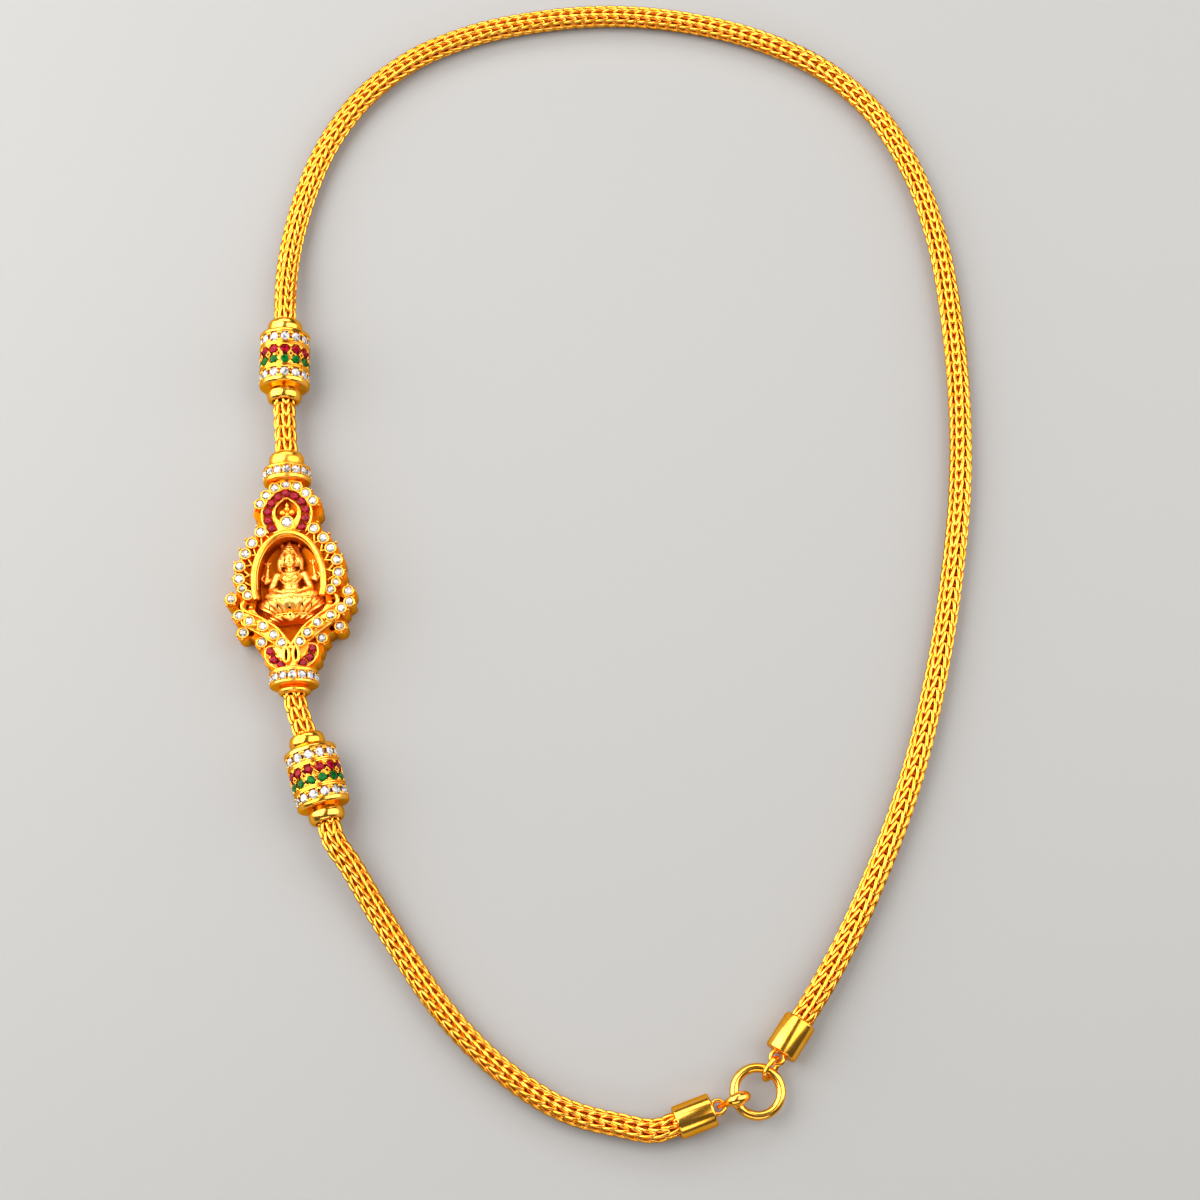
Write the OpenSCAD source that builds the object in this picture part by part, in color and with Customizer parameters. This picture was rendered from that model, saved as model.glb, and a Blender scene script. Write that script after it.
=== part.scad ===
// Thali necklace: a knitted rope chain with two stone-set barrel beads, a cast
// pendant set in line with the chain, and a hook and ring clasp. It lies flat.
// Millimetres, +Z up. The surface it lies on is z = 0.

/* [Chain] */
// Diameter of the knitted rope chain
chain_d = 4.6; // [4.4:0.1:4.8]
// Clearance between a chain end and the socket that holds it
socket_gap = 0.1; // [0.08:0.01:0.15]

/* [Barrel beads] */
// Largest diameter of a barrel bead
barrel_d = 10.1; // [9.9:0.1:10.3]
// Length of the barrel's stone-set body
barrel_body = 11.8; // [11.6:0.1:12.4]
// Diameter of the domed end caps
dome_d = 6.9; // [6.7:0.1:7.2]
// Length of one domed end cap
dome_len = 2.9; // [2.6:0.1:3.2]
// Stones in each row round a barrel
row_count = 13; // [12:1:14]

/* [Pendant] */
// Diameter of the stone-set collars
collar_d = 9.4; // [9.2:0.1:9.8]
// Height of the oval frame's front edge above the surface
frame_top = 8.6; // [8.4:0.1:9]
// Height of the stone cups' front edge above the surface
cup_top = 7.9; // [7.7:0.1:8.1]
// Height of the niche floor above the surface
niche_floor = 2.6; // [2.2:0.1:3]
// Thickness of the plain back plate
back_t = 1.5; // [1.2:0.1:1.8]
// Radius of the scallops of the side wall
lobe_r = 1.45; // [1.35:0.05:1.5]

/* [Stones] */
// Diameter of the white stones in the barrels
barrel_white_d = 1.8; // [1.6:0.05:1.8]
// Diameter of the coloured stones in the barrels
barrel_colour_d = 1.7; // [1.5:0.05:1.75]
// Diameter of most white stones in the pendant
white_d = 1.6; // [1.4:0.05:1.6]
// Diameter of the rubies in the pendant
ruby_d = 1.65; // [1.3:0.05:1.65]
// Diameter of the single white stone in the pendant's crown
centre_stone_d = 2.0; // [1.8:0.05:2.1]

/* [Clasp] */
// Diameter of the plain end caps
cap_d = 6.2; // [6:0.1:6.4]
// Length of the plain end caps
cap_len = 7.2; // [6.8:0.1:7.6]
// Outer diameter of the clasp ring
ring_d = 10.4; // [10.3:0.1:10.5]
// Thickness of the clasp ring's wire
ring_wire = 1.75; // [1.7:0.05:1.8]

/* [Hidden] */

gold = "goldenrod";
ruby = "crimson";
emerald = "seagreen";
clear = "whitesmoke";

chain_sides = 12;
chain_r = chain_d / 2;
ring_pitch = 10;
bore_r = chain_r + socket_gap;
socket_depth = 4;
straight_run = 3;
axis_h = 5.1;
cap_axis_h = cap_d / 2;

// Brings the middle of the whole outline over the origin
centre_shift = [-0.43, 1.07, 0];

// Where each hard piece lies: x, y and its turn from the +Y axis
upper_barrel_at = [-64.5, 33.4, 1.9];
lower_barrel_at = [-54.6, -52.6, 16.8];
pendant_at = [-61.3, -12.9, 4.3];
right_cap_at = [34.7, -100.9, -33.8];
left_cap_at = [16.8, -115.2, 110.7];
ring_at = [28.4, -110.8, 0];

barrel_half = barrel_body / 2 + dome_len;

// Chain routes: x, y and z of the chain's middle, from socket to socket
long_run = [
  [-65.1, 50, 4.4], [-64.6, 60, 3.1], [-62.6, 71, 2.45], [-57.9, 84.5, 2.35],
  [-50.8, 95.6, 2.3], [-41, 104.4, 2.3], [-29, 110.3, 2.3],
  [-13, 114.2, 2.3], [3, 115.4, 2.3], [19, 113.7, 2.3], [34, 109.4, 2.3],
  [47.4, 102.2, 2.3], [57.8, 91.8, 2.3], [65, 78.4, 2.3], [69.6, 62, 2.3],
  [71.8, 43, 2.3], [72.4, 24, 2.3], [71.5, 6, 2.3], [69, -12, 2.3],
  [65.1, -31.5, 2.3], [59.3, -52, 2.3], [51.2, -72, 2.35], [44.6, -85.2, 2.6]
];
tail_run = [
  [-47.6, -69.3, 4.2], [-42.9, -77, 3], [-37.5, -85.3, 2.45],
  [-32, -93.2, 2.35], [-25, -101.2, 2.3], [-16.6, -108.4, 2.3],
  [-6.8, -114.1, 2.35], [2.6, -116.6, 2.5]
];

// Pendant tables, across and along the pendant from its middle
// Crown stones: across, along
crown_row = [[0, 19.1], [2.2, 18.5], [3.9, 17], [5.2, 15.3]];
ruby_row = [[0, 17.3], [1.6, 16.55], [2.9, 15.3], [3.75, 13.65], [3.65, 11.8], [2.95, 10.1]];
// Stones beside the oval frame: across, along, diameter
frame_row = [
  [5.2, 9.5, white_d], [7, 7.35, white_d], [8.35, 5.2, white_d],
  [9.5, 2.7, white_d], [9.7, 0.1, white_d], [9.15, -1.9, 1.2], [8.05, -3.3, 1.4]
];
// Stones of the wings and the V band: across, along, height of cup, which side
// has it: 0 for both sides, 1 for the right side
band_row = [
  [11.4, -3.7, 7.4, 0], [11.5, -5.85, 7.2, 1], [9.9, -7.2, 7.6, 0],
  [7.9, -8.6, 8, 0], [5.3, -9.85, 8.1, 0], [3.25, -11.75, 8.1, 0],
  [1.75, -13.45, 8.1, 0], [9.4, -10.4, 6.3, 0], [5.8, -12.6, 6.4, 0]
];
base_row = [[4.15, -14.85], [3.5, -16.6], [2.1, -17.65]];
// Plain scallops of the side wall: across, along
plain_lobes = [[5.4, 13.9], [4.6, 11.8], [4.6, -14.6], [4, -16.3], [2.9, -17.6]];
// Middle line of the side wall, down the right half
wall_line = concat(
  [for (p = crown_row) p], [plain_lobes[0], plain_lobes[1]],
  [for (i = [0:4]) [frame_row[i][0], frame_row[i][1]]],
  [for (i = [0, 2, 7, 8]) [band_row[i][0], band_row[i][1]]],
  [for (i = [2:4]) plain_lobes[i]]
);
// Outer edge of the V band and of the base below it, down the right half
band_edge = [[0, -14.6], [3.3, -13.4], [6.2, -11], [9.2, -8.9], [8.6, -6.4]];
base_edge = [[0, -14.2], [3.1, -13.9], [4.95, -14.6], [4.7, -16.6], [3.1, -18.6], [0, -18.9]];
// Round gaps pierced between wings and frame: across, along, radius
pierce_row = [[9.75, -4.9, 0.6], [8.3, -5.1, 0.5], [7.9, -10.6, 0.6]];
// Edge of the V recess below the lotus: across, along
v_edge = [[6.75, -3.6], [7.1, -6.2], [5.7, -8], [2.7, -10.2], [1.7, -11.4], [0, -13.4]];

// Oval frame round the niche: middle, outer and inner half axes
oval_mid = -0.8;
oval_out = [7.35, 10.1];
oval_in = [6.25, 9.1];
oval_foot = -3.5;
crown_recess = [2.2, 2.5];
crown_recess_mid = 13.5;
wall_top = 5.8;
crown_top = 7.8;
base_top = 7.5;
loop_top = 8.4;
band_top = 7.4;

// How far each row of stones is turned, in shares of a stone's place: white row at the
// top, rubies, emeralds, white row at the foot, and the pendant's two collars
upper_turns = [0.81, 0.81, 0.81, 0.81];
lower_turns = [0.48, 0.15, 0.15, 0.05];
collar_turns = [0.77, 0.63];

upper_dome_end = 26.3;
upper_collar_v = 21.7;
lower_dome_end = -23.4;
lower_collar_v = -20.35;
collar_count = 15;

crown_white_d = white_d - 0.1;
centre_stone_at = [0, 11.2];
cup_wall = 0.28;
seat_gap = 0.1;
table_ratio = 0.56;
crown_ratio = 0.16;
pavilion_ratio = 0.42;
proud = 0.1;

// Lotus seat: along the pendant, half width, height above the niche floor
lotus_rows = [
  [-4, 6.3, 4.2], [-4.4, 6.5, 5.4], [-5.4, 6.2, 5.1], [-6.5, 5.4, 4.4],
  [-7.2, 4.9, 3.9], [-7.5, 5.2, 4.2], [-8.3, 4.7, 3.8], [-8.7, 3.6, 3.2]
];
lotus_petals = 9;
lotus_steps = 36;

// Hook, in the upright plane through the ring's middle and the left cap:
// out from the ring's middle, above the ring's plane, half thickness
hook_rows = [
  [5.82, -0.35, 0.3], [6.35, -0.88, 0.33], [7.05, -0.9, 0.35], [7.58, -0.45, 0.35],
  [7.7, 0.15, 0.35], [7.32, 0.8, 0.38], [6.65, 1.3, 0.5], [5.8, 1.9, 0.8],
  [4.9, 2.33, 1.12], [3.9, 2.32, 1.22], [2.95, 1.8, 1.1], [2.4, 0.95, 0.92],
  [2.3, 0, 0.8], [2.55, -0.95, 0.7], [3.35, -1.6, 0.62], [4.4, -1.75, 0.55],
  [5.25, -1.7, 0.42]
];
hook_wide = 1.25;
hook_sides = 10;
link_wire = 0.9;
link_reach = [2.7, 7.15];
link_half_height = 1.7;
link_turn = 25;
link_sides = 6;
eye_wire = 0.8;
eye_in_r = 0.85;
eye_out = 0.95;

// Vectors and routes
function unit(v) = v / norm(v);
function mirrored(p) = [-p[0], p[1]];
function reversed(list) = [for (i = [len(list) - 1:-1:0]) list[i]];
function heading(turn) = [-sin(turn), cos(turn), 0];
function along(at, h, v) = [at[0], at[1], h] + v * heading(at[2]);
function speed(p, i) =
  i == 0 ? unit(p[1] - p[0]) :
  i == len(p) - 1 ? unit(p[i] - p[i - 1]) :
  let (a = p[i] - p[i - 1], b = p[i + 1] - p[i])
    (unit(a) * norm(b) + unit(b) * norm(a)) / (norm(a) + norm(b));
function between(p, i, t) =
  let (d = norm(p[i + 1] - p[i]), a = speed(p, i) * d, b = speed(p, i + 1) * d)
    (2 * t ^ 3 - 3 * t ^ 2 + 1) * p[i] + (t ^ 3 - 2 * t ^ 2 + t) * a
    + (3 * t ^ 2 - 2 * t ^ 3) * p[i + 1] + (t ^ 3 - t ^ 2) * b;
function smooth_route(p) = concat(
  [for (i = [0:len(p) - 2]) let (n = ceil(norm(p[i + 1] - p[i]) / ring_pitch))
    for (k = [0:n - 1]) between(p, i, k / n)],
  [p[len(p) - 1]]
);

// A tube along points, with a half thickness at each and a width factor across
module swept(points, radii, up, sides, wide = 1, closed = false) {
  n = len(points);
  function ahead(i) = closed ? points[(i + 1) % n] : points[min(i + 1, n - 1)];
  function behind(i) = closed ? points[(i + n - 1) % n] : points[max(i - 1, 0)];
  rings = [for (i = [0:n - 1]) let (
      t = unit(ahead(i) - behind(i)), side = unit(cross(t, up)), top = cross(side, t)
    ) for (k = [0:sides - 1]) let (a = 360 * k / sides)
      points[i] + radii[i] * (sin(a) * top + cos(a) * wide * side)];
  last = closed ? n - 1 : n - 2;
  walls = [for (i = [0:last], k = [0:sides - 1]) let (
      j = (i + 1) % n, m = (k + 1) % sides
    ) [i * sides + k, i * sides + m, j * sides + m, j * sides + k]];
  ends = closed ? [] : [
    [for (k = [sides - 1:-1:0]) k],
    [for (k = [0:sides - 1]) (n - 1) * sides + k]
  ];
  polyhedron(rings, concat(walls, ends), convexity = 6);
}

module chain(points) {
  route = smooth_route(points);
  translate(centre_shift) swept(route, [for (p = route) chain_r], [0, 0, 1], chain_sides);
}

// Start and finish of a chain, straight through a socket's mouth
function socket_run(at, h, mouth, way) = [
  along(at, h, mouth - way * socket_depth), along(at, h, mouth + way * 0.2),
  along(at, h, mouth + way * straight_run)
];

module chain_long() {
  color(gold) chain(concat(
    socket_run(upper_barrel_at, axis_h, barrel_half, 1), long_run,
    reversed(socket_run(right_cap_at, cap_axis_h, cap_len / 2, 1))
  ));
}

module chain_upper_short() {
  color(gold) chain(concat(
    [socket_run(upper_barrel_at, axis_h, -barrel_half, -1)[0],
     socket_run(upper_barrel_at, axis_h, -barrel_half, -1)[1]],
    [socket_run(pendant_at, axis_h, upper_dome_end, 1)[1],
     socket_run(pendant_at, axis_h, upper_dome_end, 1)[0]]
  ));
}

module chain_lower_short() {
  color(gold) chain(concat(
    [socket_run(pendant_at, axis_h, lower_dome_end, -1)[0],
     socket_run(pendant_at, axis_h, lower_dome_end, -1)[1]],
    [socket_run(lower_barrel_at, axis_h, barrel_half, 1)[1],
     socket_run(lower_barrel_at, axis_h, barrel_half, 1)[0]]
  ));
}

module chain_tail() {
  color(gold) chain(concat(
    socket_run(lower_barrel_at, axis_h, -barrel_half, -1), tail_run,
    reversed(socket_run(left_cap_at, cap_axis_h, cap_len / 2, 1))
  ));
}

// A cut stone: flat table, eight crown facets, eight pavilion facets
module stone(d) {
  n = 8;
  r = d / 2;
  rim = [for (i = [0:n - 1]) r * [cos(360 * i / n), sin(360 * i / n), 0]];
  table = [for (p = rim) [p[0] * table_ratio, p[1] * table_ratio, d * crown_ratio]];
  polyhedron(
    concat(table, rim, [[0, 0, -d * pavilion_ratio]]),
    concat(
      [[for (i = [n - 1:-1:0]) i]],
      [for (i = [0:n - 1]) [i, (i + 1) % n, n + (i + 1) % n, n + i]],
      [for (i = [0:n - 1]) [n + i, n + (i + 1) % n, 2 * n]]
    ),
    convexity = 2
  );
}

// Pieces that turn about a line along the chain
module lie(at, h) {
  translate(centre_shift + [at[0], at[1], h]) rotate([0, 0, at[2]]) children();
}
module turned(at, h) {
  lie(at, h) rotate([-90, 0, 0]) children();
}
module stone_ring(d, girdle_r, v, count, shift) {
  for (i = [0:count - 1])
    rotate([0, 0, 90 + 360 * (i + shift) / count]) translate([girdle_r, 0, v])
      rotate([0, 90, 0]) rotate([0, 0, 22.5]) stone(d);
}

// Half outline of a domed cap from its mouth inwards: radius, place
function dome_arc(foot, length, d) = [
  for (t = [90:-20:-70])
    [d / 2 - 0.75 + 0.75 * cos(t), foot + length / 2 + length / 2 * sin(t)]
];

barrel_groove = barrel_white_d + 2 * seat_gap;
barrel_row_v = 3.85;
colour_row_v = 1.04;
colour_groove = colour_row_v + barrel_colour_d / 2 + seat_gap;
barrel_girdle = barrel_d / 2 - 0.3;
groove_r = barrel_girdle - barrel_white_d * pavilion_ratio - 0.15;

module barrel(at) {
  half = barrel_body / 2;
  rim_r = barrel_d / 2;
  side = concat(
    [[bore_r, half + dome_len]],
    dome_arc(half + 0.05, dome_len - 0.05, dome_d),
    [[3.1, half], [rim_r - 0.9, half - 0.05], [rim_r - 0.15, half - 0.6],
     [rim_r, half - 0.75],
     [rim_r, barrel_row_v + barrel_groove / 2], [groove_r, barrel_row_v + barrel_groove / 2],
     [groove_r, barrel_row_v - barrel_groove / 2], [rim_r, barrel_row_v - barrel_groove / 2],
     [rim_r, colour_groove], [groove_r, colour_groove]]
  );
  color(gold) turned(at, axis_h) rotate_extrude($fn = 64)
    polygon(concat(side, [for (p = reversed(side)) [p[0], -p[1]]]));
}
module barrel_whites(at, way, shift) {
  color(clear) turned(at, axis_h)
    stone_ring(barrel_white_d, barrel_girdle, way * barrel_row_v, row_count, shift);
}
module barrel_colours(at, way, shift, shade) {
  color(shade) turned(at, axis_h)
    stone_ring(barrel_colour_d, barrel_girdle, way * colour_row_v, row_count, shift);
}

// Plan of the pendant's side wall, scalloped under each cup
module wall_plan(r) {
  polygon(concat(wall_line, [for (p = reversed(wall_line)) mirrored(p)]));
  for (i = [0:len(wall_line) - 1], s = [1, -1])
    if (i > 0 || s > 0) translate([s * wall_line[i][0], wall_line[i][1]]) circle(r, $fn = 32);
}
function ellipse_line(half, mid, a0, a1, n) =
  [for (i = [0:n]) let (a = a0 + (a1 - a0) * i / n) [half[0] * sin(a), mid + half[1] * cos(a)]];
function foot_angle(half) = acos((oval_foot - oval_mid) / half[1]);
// A gap in the wall between two neighbouring stones and the oval frame
module wall_gap(a, b) {
  mid = (a + b) / 2;
  t = unit(b - a);
  inward = [t[1], -t[0]] * (t[1] * mid[0] - t[0] * mid[1] < 0 ? 1 : -1);
  translate([0, 0, back_t]) linear_extrude(wall_top)
    polygon([mid + 0.35 * inward, mid + 1.6 * inward + 0.8 * t, mid + 1.6 * inward - 0.8 * t]);
}
// Points beside a line, on its left
function beside(line, d) = [for (i = [0:len(line) - 1]) let (
    t = unit(line[min(i + 1, len(line) - 1)] - line[max(i - 1, 0)])
  ) line[i] + d * [-t[1], t[0]]];

module oval_frame() {
  a = foot_angle(oval_out);
  b = foot_angle(oval_in);
  translate([0, 0, back_t]) linear_extrude(frame_top - back_t)
    polygon(concat(
      ellipse_line(oval_out, oval_mid, -a, a, 40),
      ellipse_line(oval_in, oval_mid, b, -b, 40)
    ));
}
module niche() {
  b = foot_angle(oval_in);
  translate([0, 0, niche_floor]) linear_extrude(frame_top)
    polygon(concat(
      ellipse_line(oval_in, oval_mid, -b, b, 40), v_edge,
      [for (i = [len(v_edge) - 2:-1:0]) mirrored(v_edge[i])]
    ));
}
module cup(p, d, top) {
  translate([p[0], p[1], back_t]) cylinder(r = d / 2 + seat_gap + cup_wall, h = top - back_t, $fn = 32);
}
module pocket(p, d, top) {
  depth = d * pavilion_ratio + proud + 0.15;
  translate([p[0], p[1], top - depth]) cylinder(r = d / 2 + seat_gap, h = depth + 1, $fn = 32);
}
function both(rows) = [for (r = rows, s = [1, -1]) if (r[0] > 0 || s > 0)
  [for (i = [0:len(r) - 1]) i == 0 ? s * r[0] : r[i]]];
band_sides = [for (r = band_row, s = [1, -1]) if (r[3] == 0 || s > 0) [s * r[0], r[1], r[2]]];
ruby_line = concat([for (p = reversed(ruby_row)) mirrored(p)], [for (i = [1:5]) ruby_row[i]]);

// A line made longer at both ends
function longer(line, d) = let (n = len(line) - 1) concat(
  [line[0] + d * unit(line[0] - line[1])], [for (i = [1:n - 1]) line[i]],
  [line[n] + d * unit(line[n] - line[n - 1])]
);
module ruby_channel(line, top) {
  reach = ruby_d / 2 + seat_gap + 0.03;
  depth = ruby_d * pavilion_ratio + proud + 0.15;
  long = longer(line, reach);
  translate([0, 0, top - depth]) linear_extrude(depth + 1)
    polygon(concat(beside(long, reach), reversed(beside(long, -reach))));
}
module collar(way, v, dome_end, rim) {
  groove = white_d / 2 + seat_gap;
  rim_r = collar_d / 2;
  inner = rim_r - 0.15 - white_d * pavilion_ratio - 0.15;
  dome_foot = v * way + groove + 0.75;
  side = concat(
    [[0, dome_end * way]],
    dome_arc(dome_foot, dome_end * way - dome_foot, rim),
    [[3, dome_foot - 0.1], [rim_r - 0.5, dome_foot - 0.15], [rim_r, dome_foot - 0.4],
     [rim_r, v * way + groove], [inner, v * way + groove],
     [inner, v * way - groove], [rim_r, v * way - groove],
     [rim_r, v * way - groove - 0.35], [rim_r - 0.45, v * way - groove - 0.8],
     [0, v * way - groove - 0.8]]
  );
  rotate([-90, 0, 0]) rotate_extrude($fn = 64)
    polygon([for (p = way > 0 ? side : reversed(side)) [p[0], p[1] * way]]);
}
module leaf_loop(s) {
  line = ellipse_line([0.85, 1.8], 0, 0, 345, 23);
  hole = ellipse_line([0.38, 1.3], 0, 0, 345, 23);
  translate([s * 0.98, -16, wall_top - 0.5]) linear_extrude(loop_top - wall_top + 0.5)
    difference() {
      polygon(line);
      polygon(hole);
    }
}
// Three petals and a drop, raised from the crown recess
module flower() {
  translate([0, 0, wall_top - 0.5]) {
    for (s = [1, -1]) translate([s * 0.95, 13.5, 0]) cylinder(r = 0.7, h = 1.5, $fn = 24);
    translate([0, 14, 0]) cylinder(r = 0.6, h = 1.7, $fn = 24);
    linear_extrude(1.6) polygon([[-0.35, 14.2], [0.35, 14.2], [0.3, 15], [0, 15.7], [-0.3, 15]]);
  }
}

// Cast metal of the pendant before its recesses and sockets are cut
module cast_block() {
  linear_extrude(back_t) wall_plan(lobe_r - 0.65);
  translate([0, 0, back_t - 0.2]) linear_extrude(wall_top - back_t + 0.2) wall_plan(lobe_r);
  oval_frame();
  // Crown plate
  translate([0, 0, back_t]) linear_extrude(crown_top - back_t)
    polygon(beside(longer(ruby_line, 0.6), ruby_d / 2 + 0.35));
  // V band
  for (s = [1, -1]) translate([0, 0, back_t]) linear_extrude(band_top - back_t)
    polygon([for (p = concat([for (i = [1:5]) v_edge[i]], band_edge)) [s * p[0], p[1]]]);
  // Base round the last rubies
  translate([0, 0, back_t]) linear_extrude(base_top - back_t)
    polygon(concat(base_edge, [for (p = reversed(base_edge)) mirrored(p)]));
  for (p = both(crown_row)) cup(p, crown_white_d, cup_top);
  for (p = both(frame_row)) cup(p, p[2], cup_top);
  for (p = band_sides) cup(p, crown_white_d, p[2]);
  for (s = [1, -1]) leaf_loop(s);
  translate([0, 0, axis_h]) collar(1, upper_collar_v, upper_dome_end, dome_d);
  translate([0, 0, axis_h]) collar(-1, lower_collar_v, lower_dome_end, dome_d - 0.7);
}
module cast_cuts() {
  niche();
  for (s = [1, -1], i = [0:len(frame_row) - 2])
    wall_gap([s * frame_row[i][0], frame_row[i][1]], [s * frame_row[i + 1][0], frame_row[i + 1][1]]);
  for (s = [1, -1], p = pierce_row) translate([s * p[0], p[1], back_t])
    cylinder(r = p[2], h = cup_top, $fn = 24);
  // Crown recess with the bezel left standing
  translate([0, 0, wall_top]) linear_extrude(crown_top) difference() {
    polygon(ellipse_line(crown_recess, crown_recess_mid, 0, 350, 35));
    translate(centre_stone_at) circle(centre_stone_d / 2 + 0.4, $fn = 32);
  }
  pocket(centre_stone_at, centre_stone_d, crown_top);
  for (p = both(crown_row)) pocket(p, crown_white_d, cup_top);
  for (p = both(frame_row)) pocket(p, p[2], cup_top);
  for (p = band_sides) pocket(p, crown_white_d, p[2]);
  ruby_channel(ruby_line, crown_top);
  ruby_channel(base_row, base_top);
  ruby_channel([for (p = reversed(base_row)) mirrored(p)], base_top);
  // Chain sockets
  translate([0, upper_dome_end + 1, axis_h]) rotate([90, 0, 0])
    cylinder(r = bore_r, h = socket_depth + 2.4, $fn = 48);
  translate([0, lower_dome_end - 1, axis_h]) rotate([-90, 0, 0])
    cylinder(r = bore_r, h = socket_depth + 1.6, $fn = 48);
}
module pendant_body() {
  color(gold) lie(pendant_at, 0) {
    difference() {
      cast_block();
      cast_cuts();
    }
    flower();
  }
}

module stones_at(points, d, top, shade) {
  color(shade) lie(pendant_at, 0)
    for (p = points) translate([p[0], p[1], top - proud]) stone(d);
}
module collar_whites(v, shift) {
  color(clear) turned(pendant_at, axis_h)
    stone_ring(white_d, collar_d / 2 - 0.15, v, collar_count, shift);
}
module frame_whites(s) {
  color(clear) lie(pendant_at, 0)
    for (p = frame_row) translate([s * p[0], p[1], cup_top - proud]) stone(p[2]);
}
module band_whites() {
  color(clear) lie(pendant_at, 0)
    for (p = band_sides) translate([p[0], p[1], p[2] - proud]) stone(crown_white_d);
}

// A rounded limb between two points
module limb(a, ra, b, rb) {
  hull() {
    translate(a) sphere(ra, $fn = 10);
    translate(b) sphere(rb, $fn = 10);
  }
}
module seated_figure() {
  z = niche_floor + seat_gap;
  color(gold) lie(pendant_at, 0) intersection() {
    translate([-8, -6, z]) cube([16, 16, 8]);
    union() {
      // Head, hair and tall crown
      limb([0, 3.5, 5.9], 1, [0, 4, 5.8], 1.05);
      limb([0, 4.9, 5], 1.7, [0, 5.6, 4.8], 1.35);
      limb([0, 5.6, 5], 1.2, [0, 7.5, 4.9], 0.3);
      for (s = [1, -1]) limb([s * 1.6, 4.6, 4.4], 0.9, [s * 2, 2.2, 4.2], 0.6);
      // Neck, chest and waist
      limb([0, 2.8, 5], 0.7, [0, 1.8, 4.8], 0.8);
      limb([-1.6, 0.9, 3.85], 1.2, [1.6, 0.9, 3.85], 1.2);
      limb([0, 0.7, 4.35], 1.7, [0, -2, 4.35], 1.35);
      for (s = [1, -1]) {
        // Front arm, raised arm with a bud, folded leg
        limb([s * 3, 0.7, 4.4], 0.85, [s * 3.8, -1.6, 4.8], 0.65);
        limb([s * 3.8, -1.6, 4.8], 0.62, [s * 1.5, -2.4, 6.2], 0.55);
        limb([s * 3.2, 0.9, 3.9], 0.7, [s * 4.5, 0.4, 4], 0.5);
        limb([s * 4.5, 0.4, 4], 0.5, [s * 4.4, 3.2, 4.2], 0.42);
        limb([s * 4.4, 3.7, 4.3], 0.6, [s * 4.4, 4.3, 4.3], 0.3);
        limb([s * 4.4, -2.85, 4.4], 0.9, [0, -3, 5.4], 0.85);
      }
      limb([-4, -3.15, 3.3], 0.62, [4, -3.15, 3.3], 0.62);
    }
  }
}

module lotus_seat() {
  z = niche_floor + seat_gap;
  m = lotus_steps;
  ring = m + 1;
  points = [for (r = lotus_rows, i = [0:m]) let (
      a = 180 * i / m, petal = 1 - 0.045 * (1 - abs(sin(a * lotus_petals)))
    ) [r[1] * cos(a) * petal, r[0], z + r[2] * sin(a) * petal]];
  last = len(lotus_rows) - 1;
  color(gold) lie(pendant_at, 0) polyhedron(points, concat(
    [for (j = [0:last - 1], i = [0:m]) let (k = (i + 1) % ring)
      [j * ring + k, j * ring + i, (j + 1) * ring + i, (j + 1) * ring + k]],
    [[for (i = [0:m]) i], [for (i = [m:-1:0]) last * ring + i]]
  ), convexity = 4);
}

// Clasp
module end_cap(at) {
  r = cap_d / 2;
  half = cap_len / 2;
  soft = 0.35;
  color(gold) turned(at, cap_axis_h) union() {
    rotate_extrude($fn = 64) polygon([
      [0, -half], [r - soft, -half], [r - soft * 0.3, -half + soft * 0.3], [r, -half + soft],
      [r, half - soft], [r - soft * 0.3, half - soft * 0.3], [r - soft, half],
      [bore_r, half], [bore_r, half - socket_depth - 0.4], [0, half - socket_depth - 0.4]
    ]);
    translate([0, 0, -half - eye_out]) rotate([90, 0, 0])
      rotate_extrude($fn = 32) translate([eye_in_r + eye_wire / 2, 0]) circle(eye_wire / 2, $fn = 24);
  }
}

module clasp_ring() {
  color(gold) lie(ring_at, cap_axis_h)
    rotate_extrude($fn = 64) translate([(ring_d - ring_wire) / 2, 0]) circle(ring_wire / 2, $fn = 24);
}

// A point in the upright plane that runs out from the ring
function out_of_ring(way, x, z) = [ring_at[0], ring_at[1], cap_axis_h] + x * way + [0, 0, z];
function way_to(at) = unit([at[0] - ring_at[0], at[1] - ring_at[1], 0]);

module ring_link() {
  way = way_to(right_cap_at);
  tilt = [-way[1] * sin(link_turn), way[0] * sin(link_turn), cos(link_turn)];
  r = link_half_height;
  line = concat(
    [for (a = [-90:30:90]) [link_reach[1] - r + r * cos(a), r * sin(a)]],
    [for (a = [90:30:270]) [link_reach[0] + r + r * cos(a), r * sin(a)]]
  );
  color(gold) translate(centre_shift) swept(
    [for (p = line) out_of_ring(way, p[0], 0) + p[1] * tilt],
    [for (p = line) link_wire / 2], cross(way, tilt), link_sides, 1, true
  );
}

module clasp_hook() {
  way = way_to(left_cap_at);
  line = [for (r = hook_rows) [r[0], 0, r[1]]];
  radii = [for (r = hook_rows) r[2]];
  color(gold) translate(centre_shift) swept(
    [for (p = line) out_of_ring(way, p[0], p[2])], radii,
    cross([0, 0, 1], way), hook_sides, 1
  );
}

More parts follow.
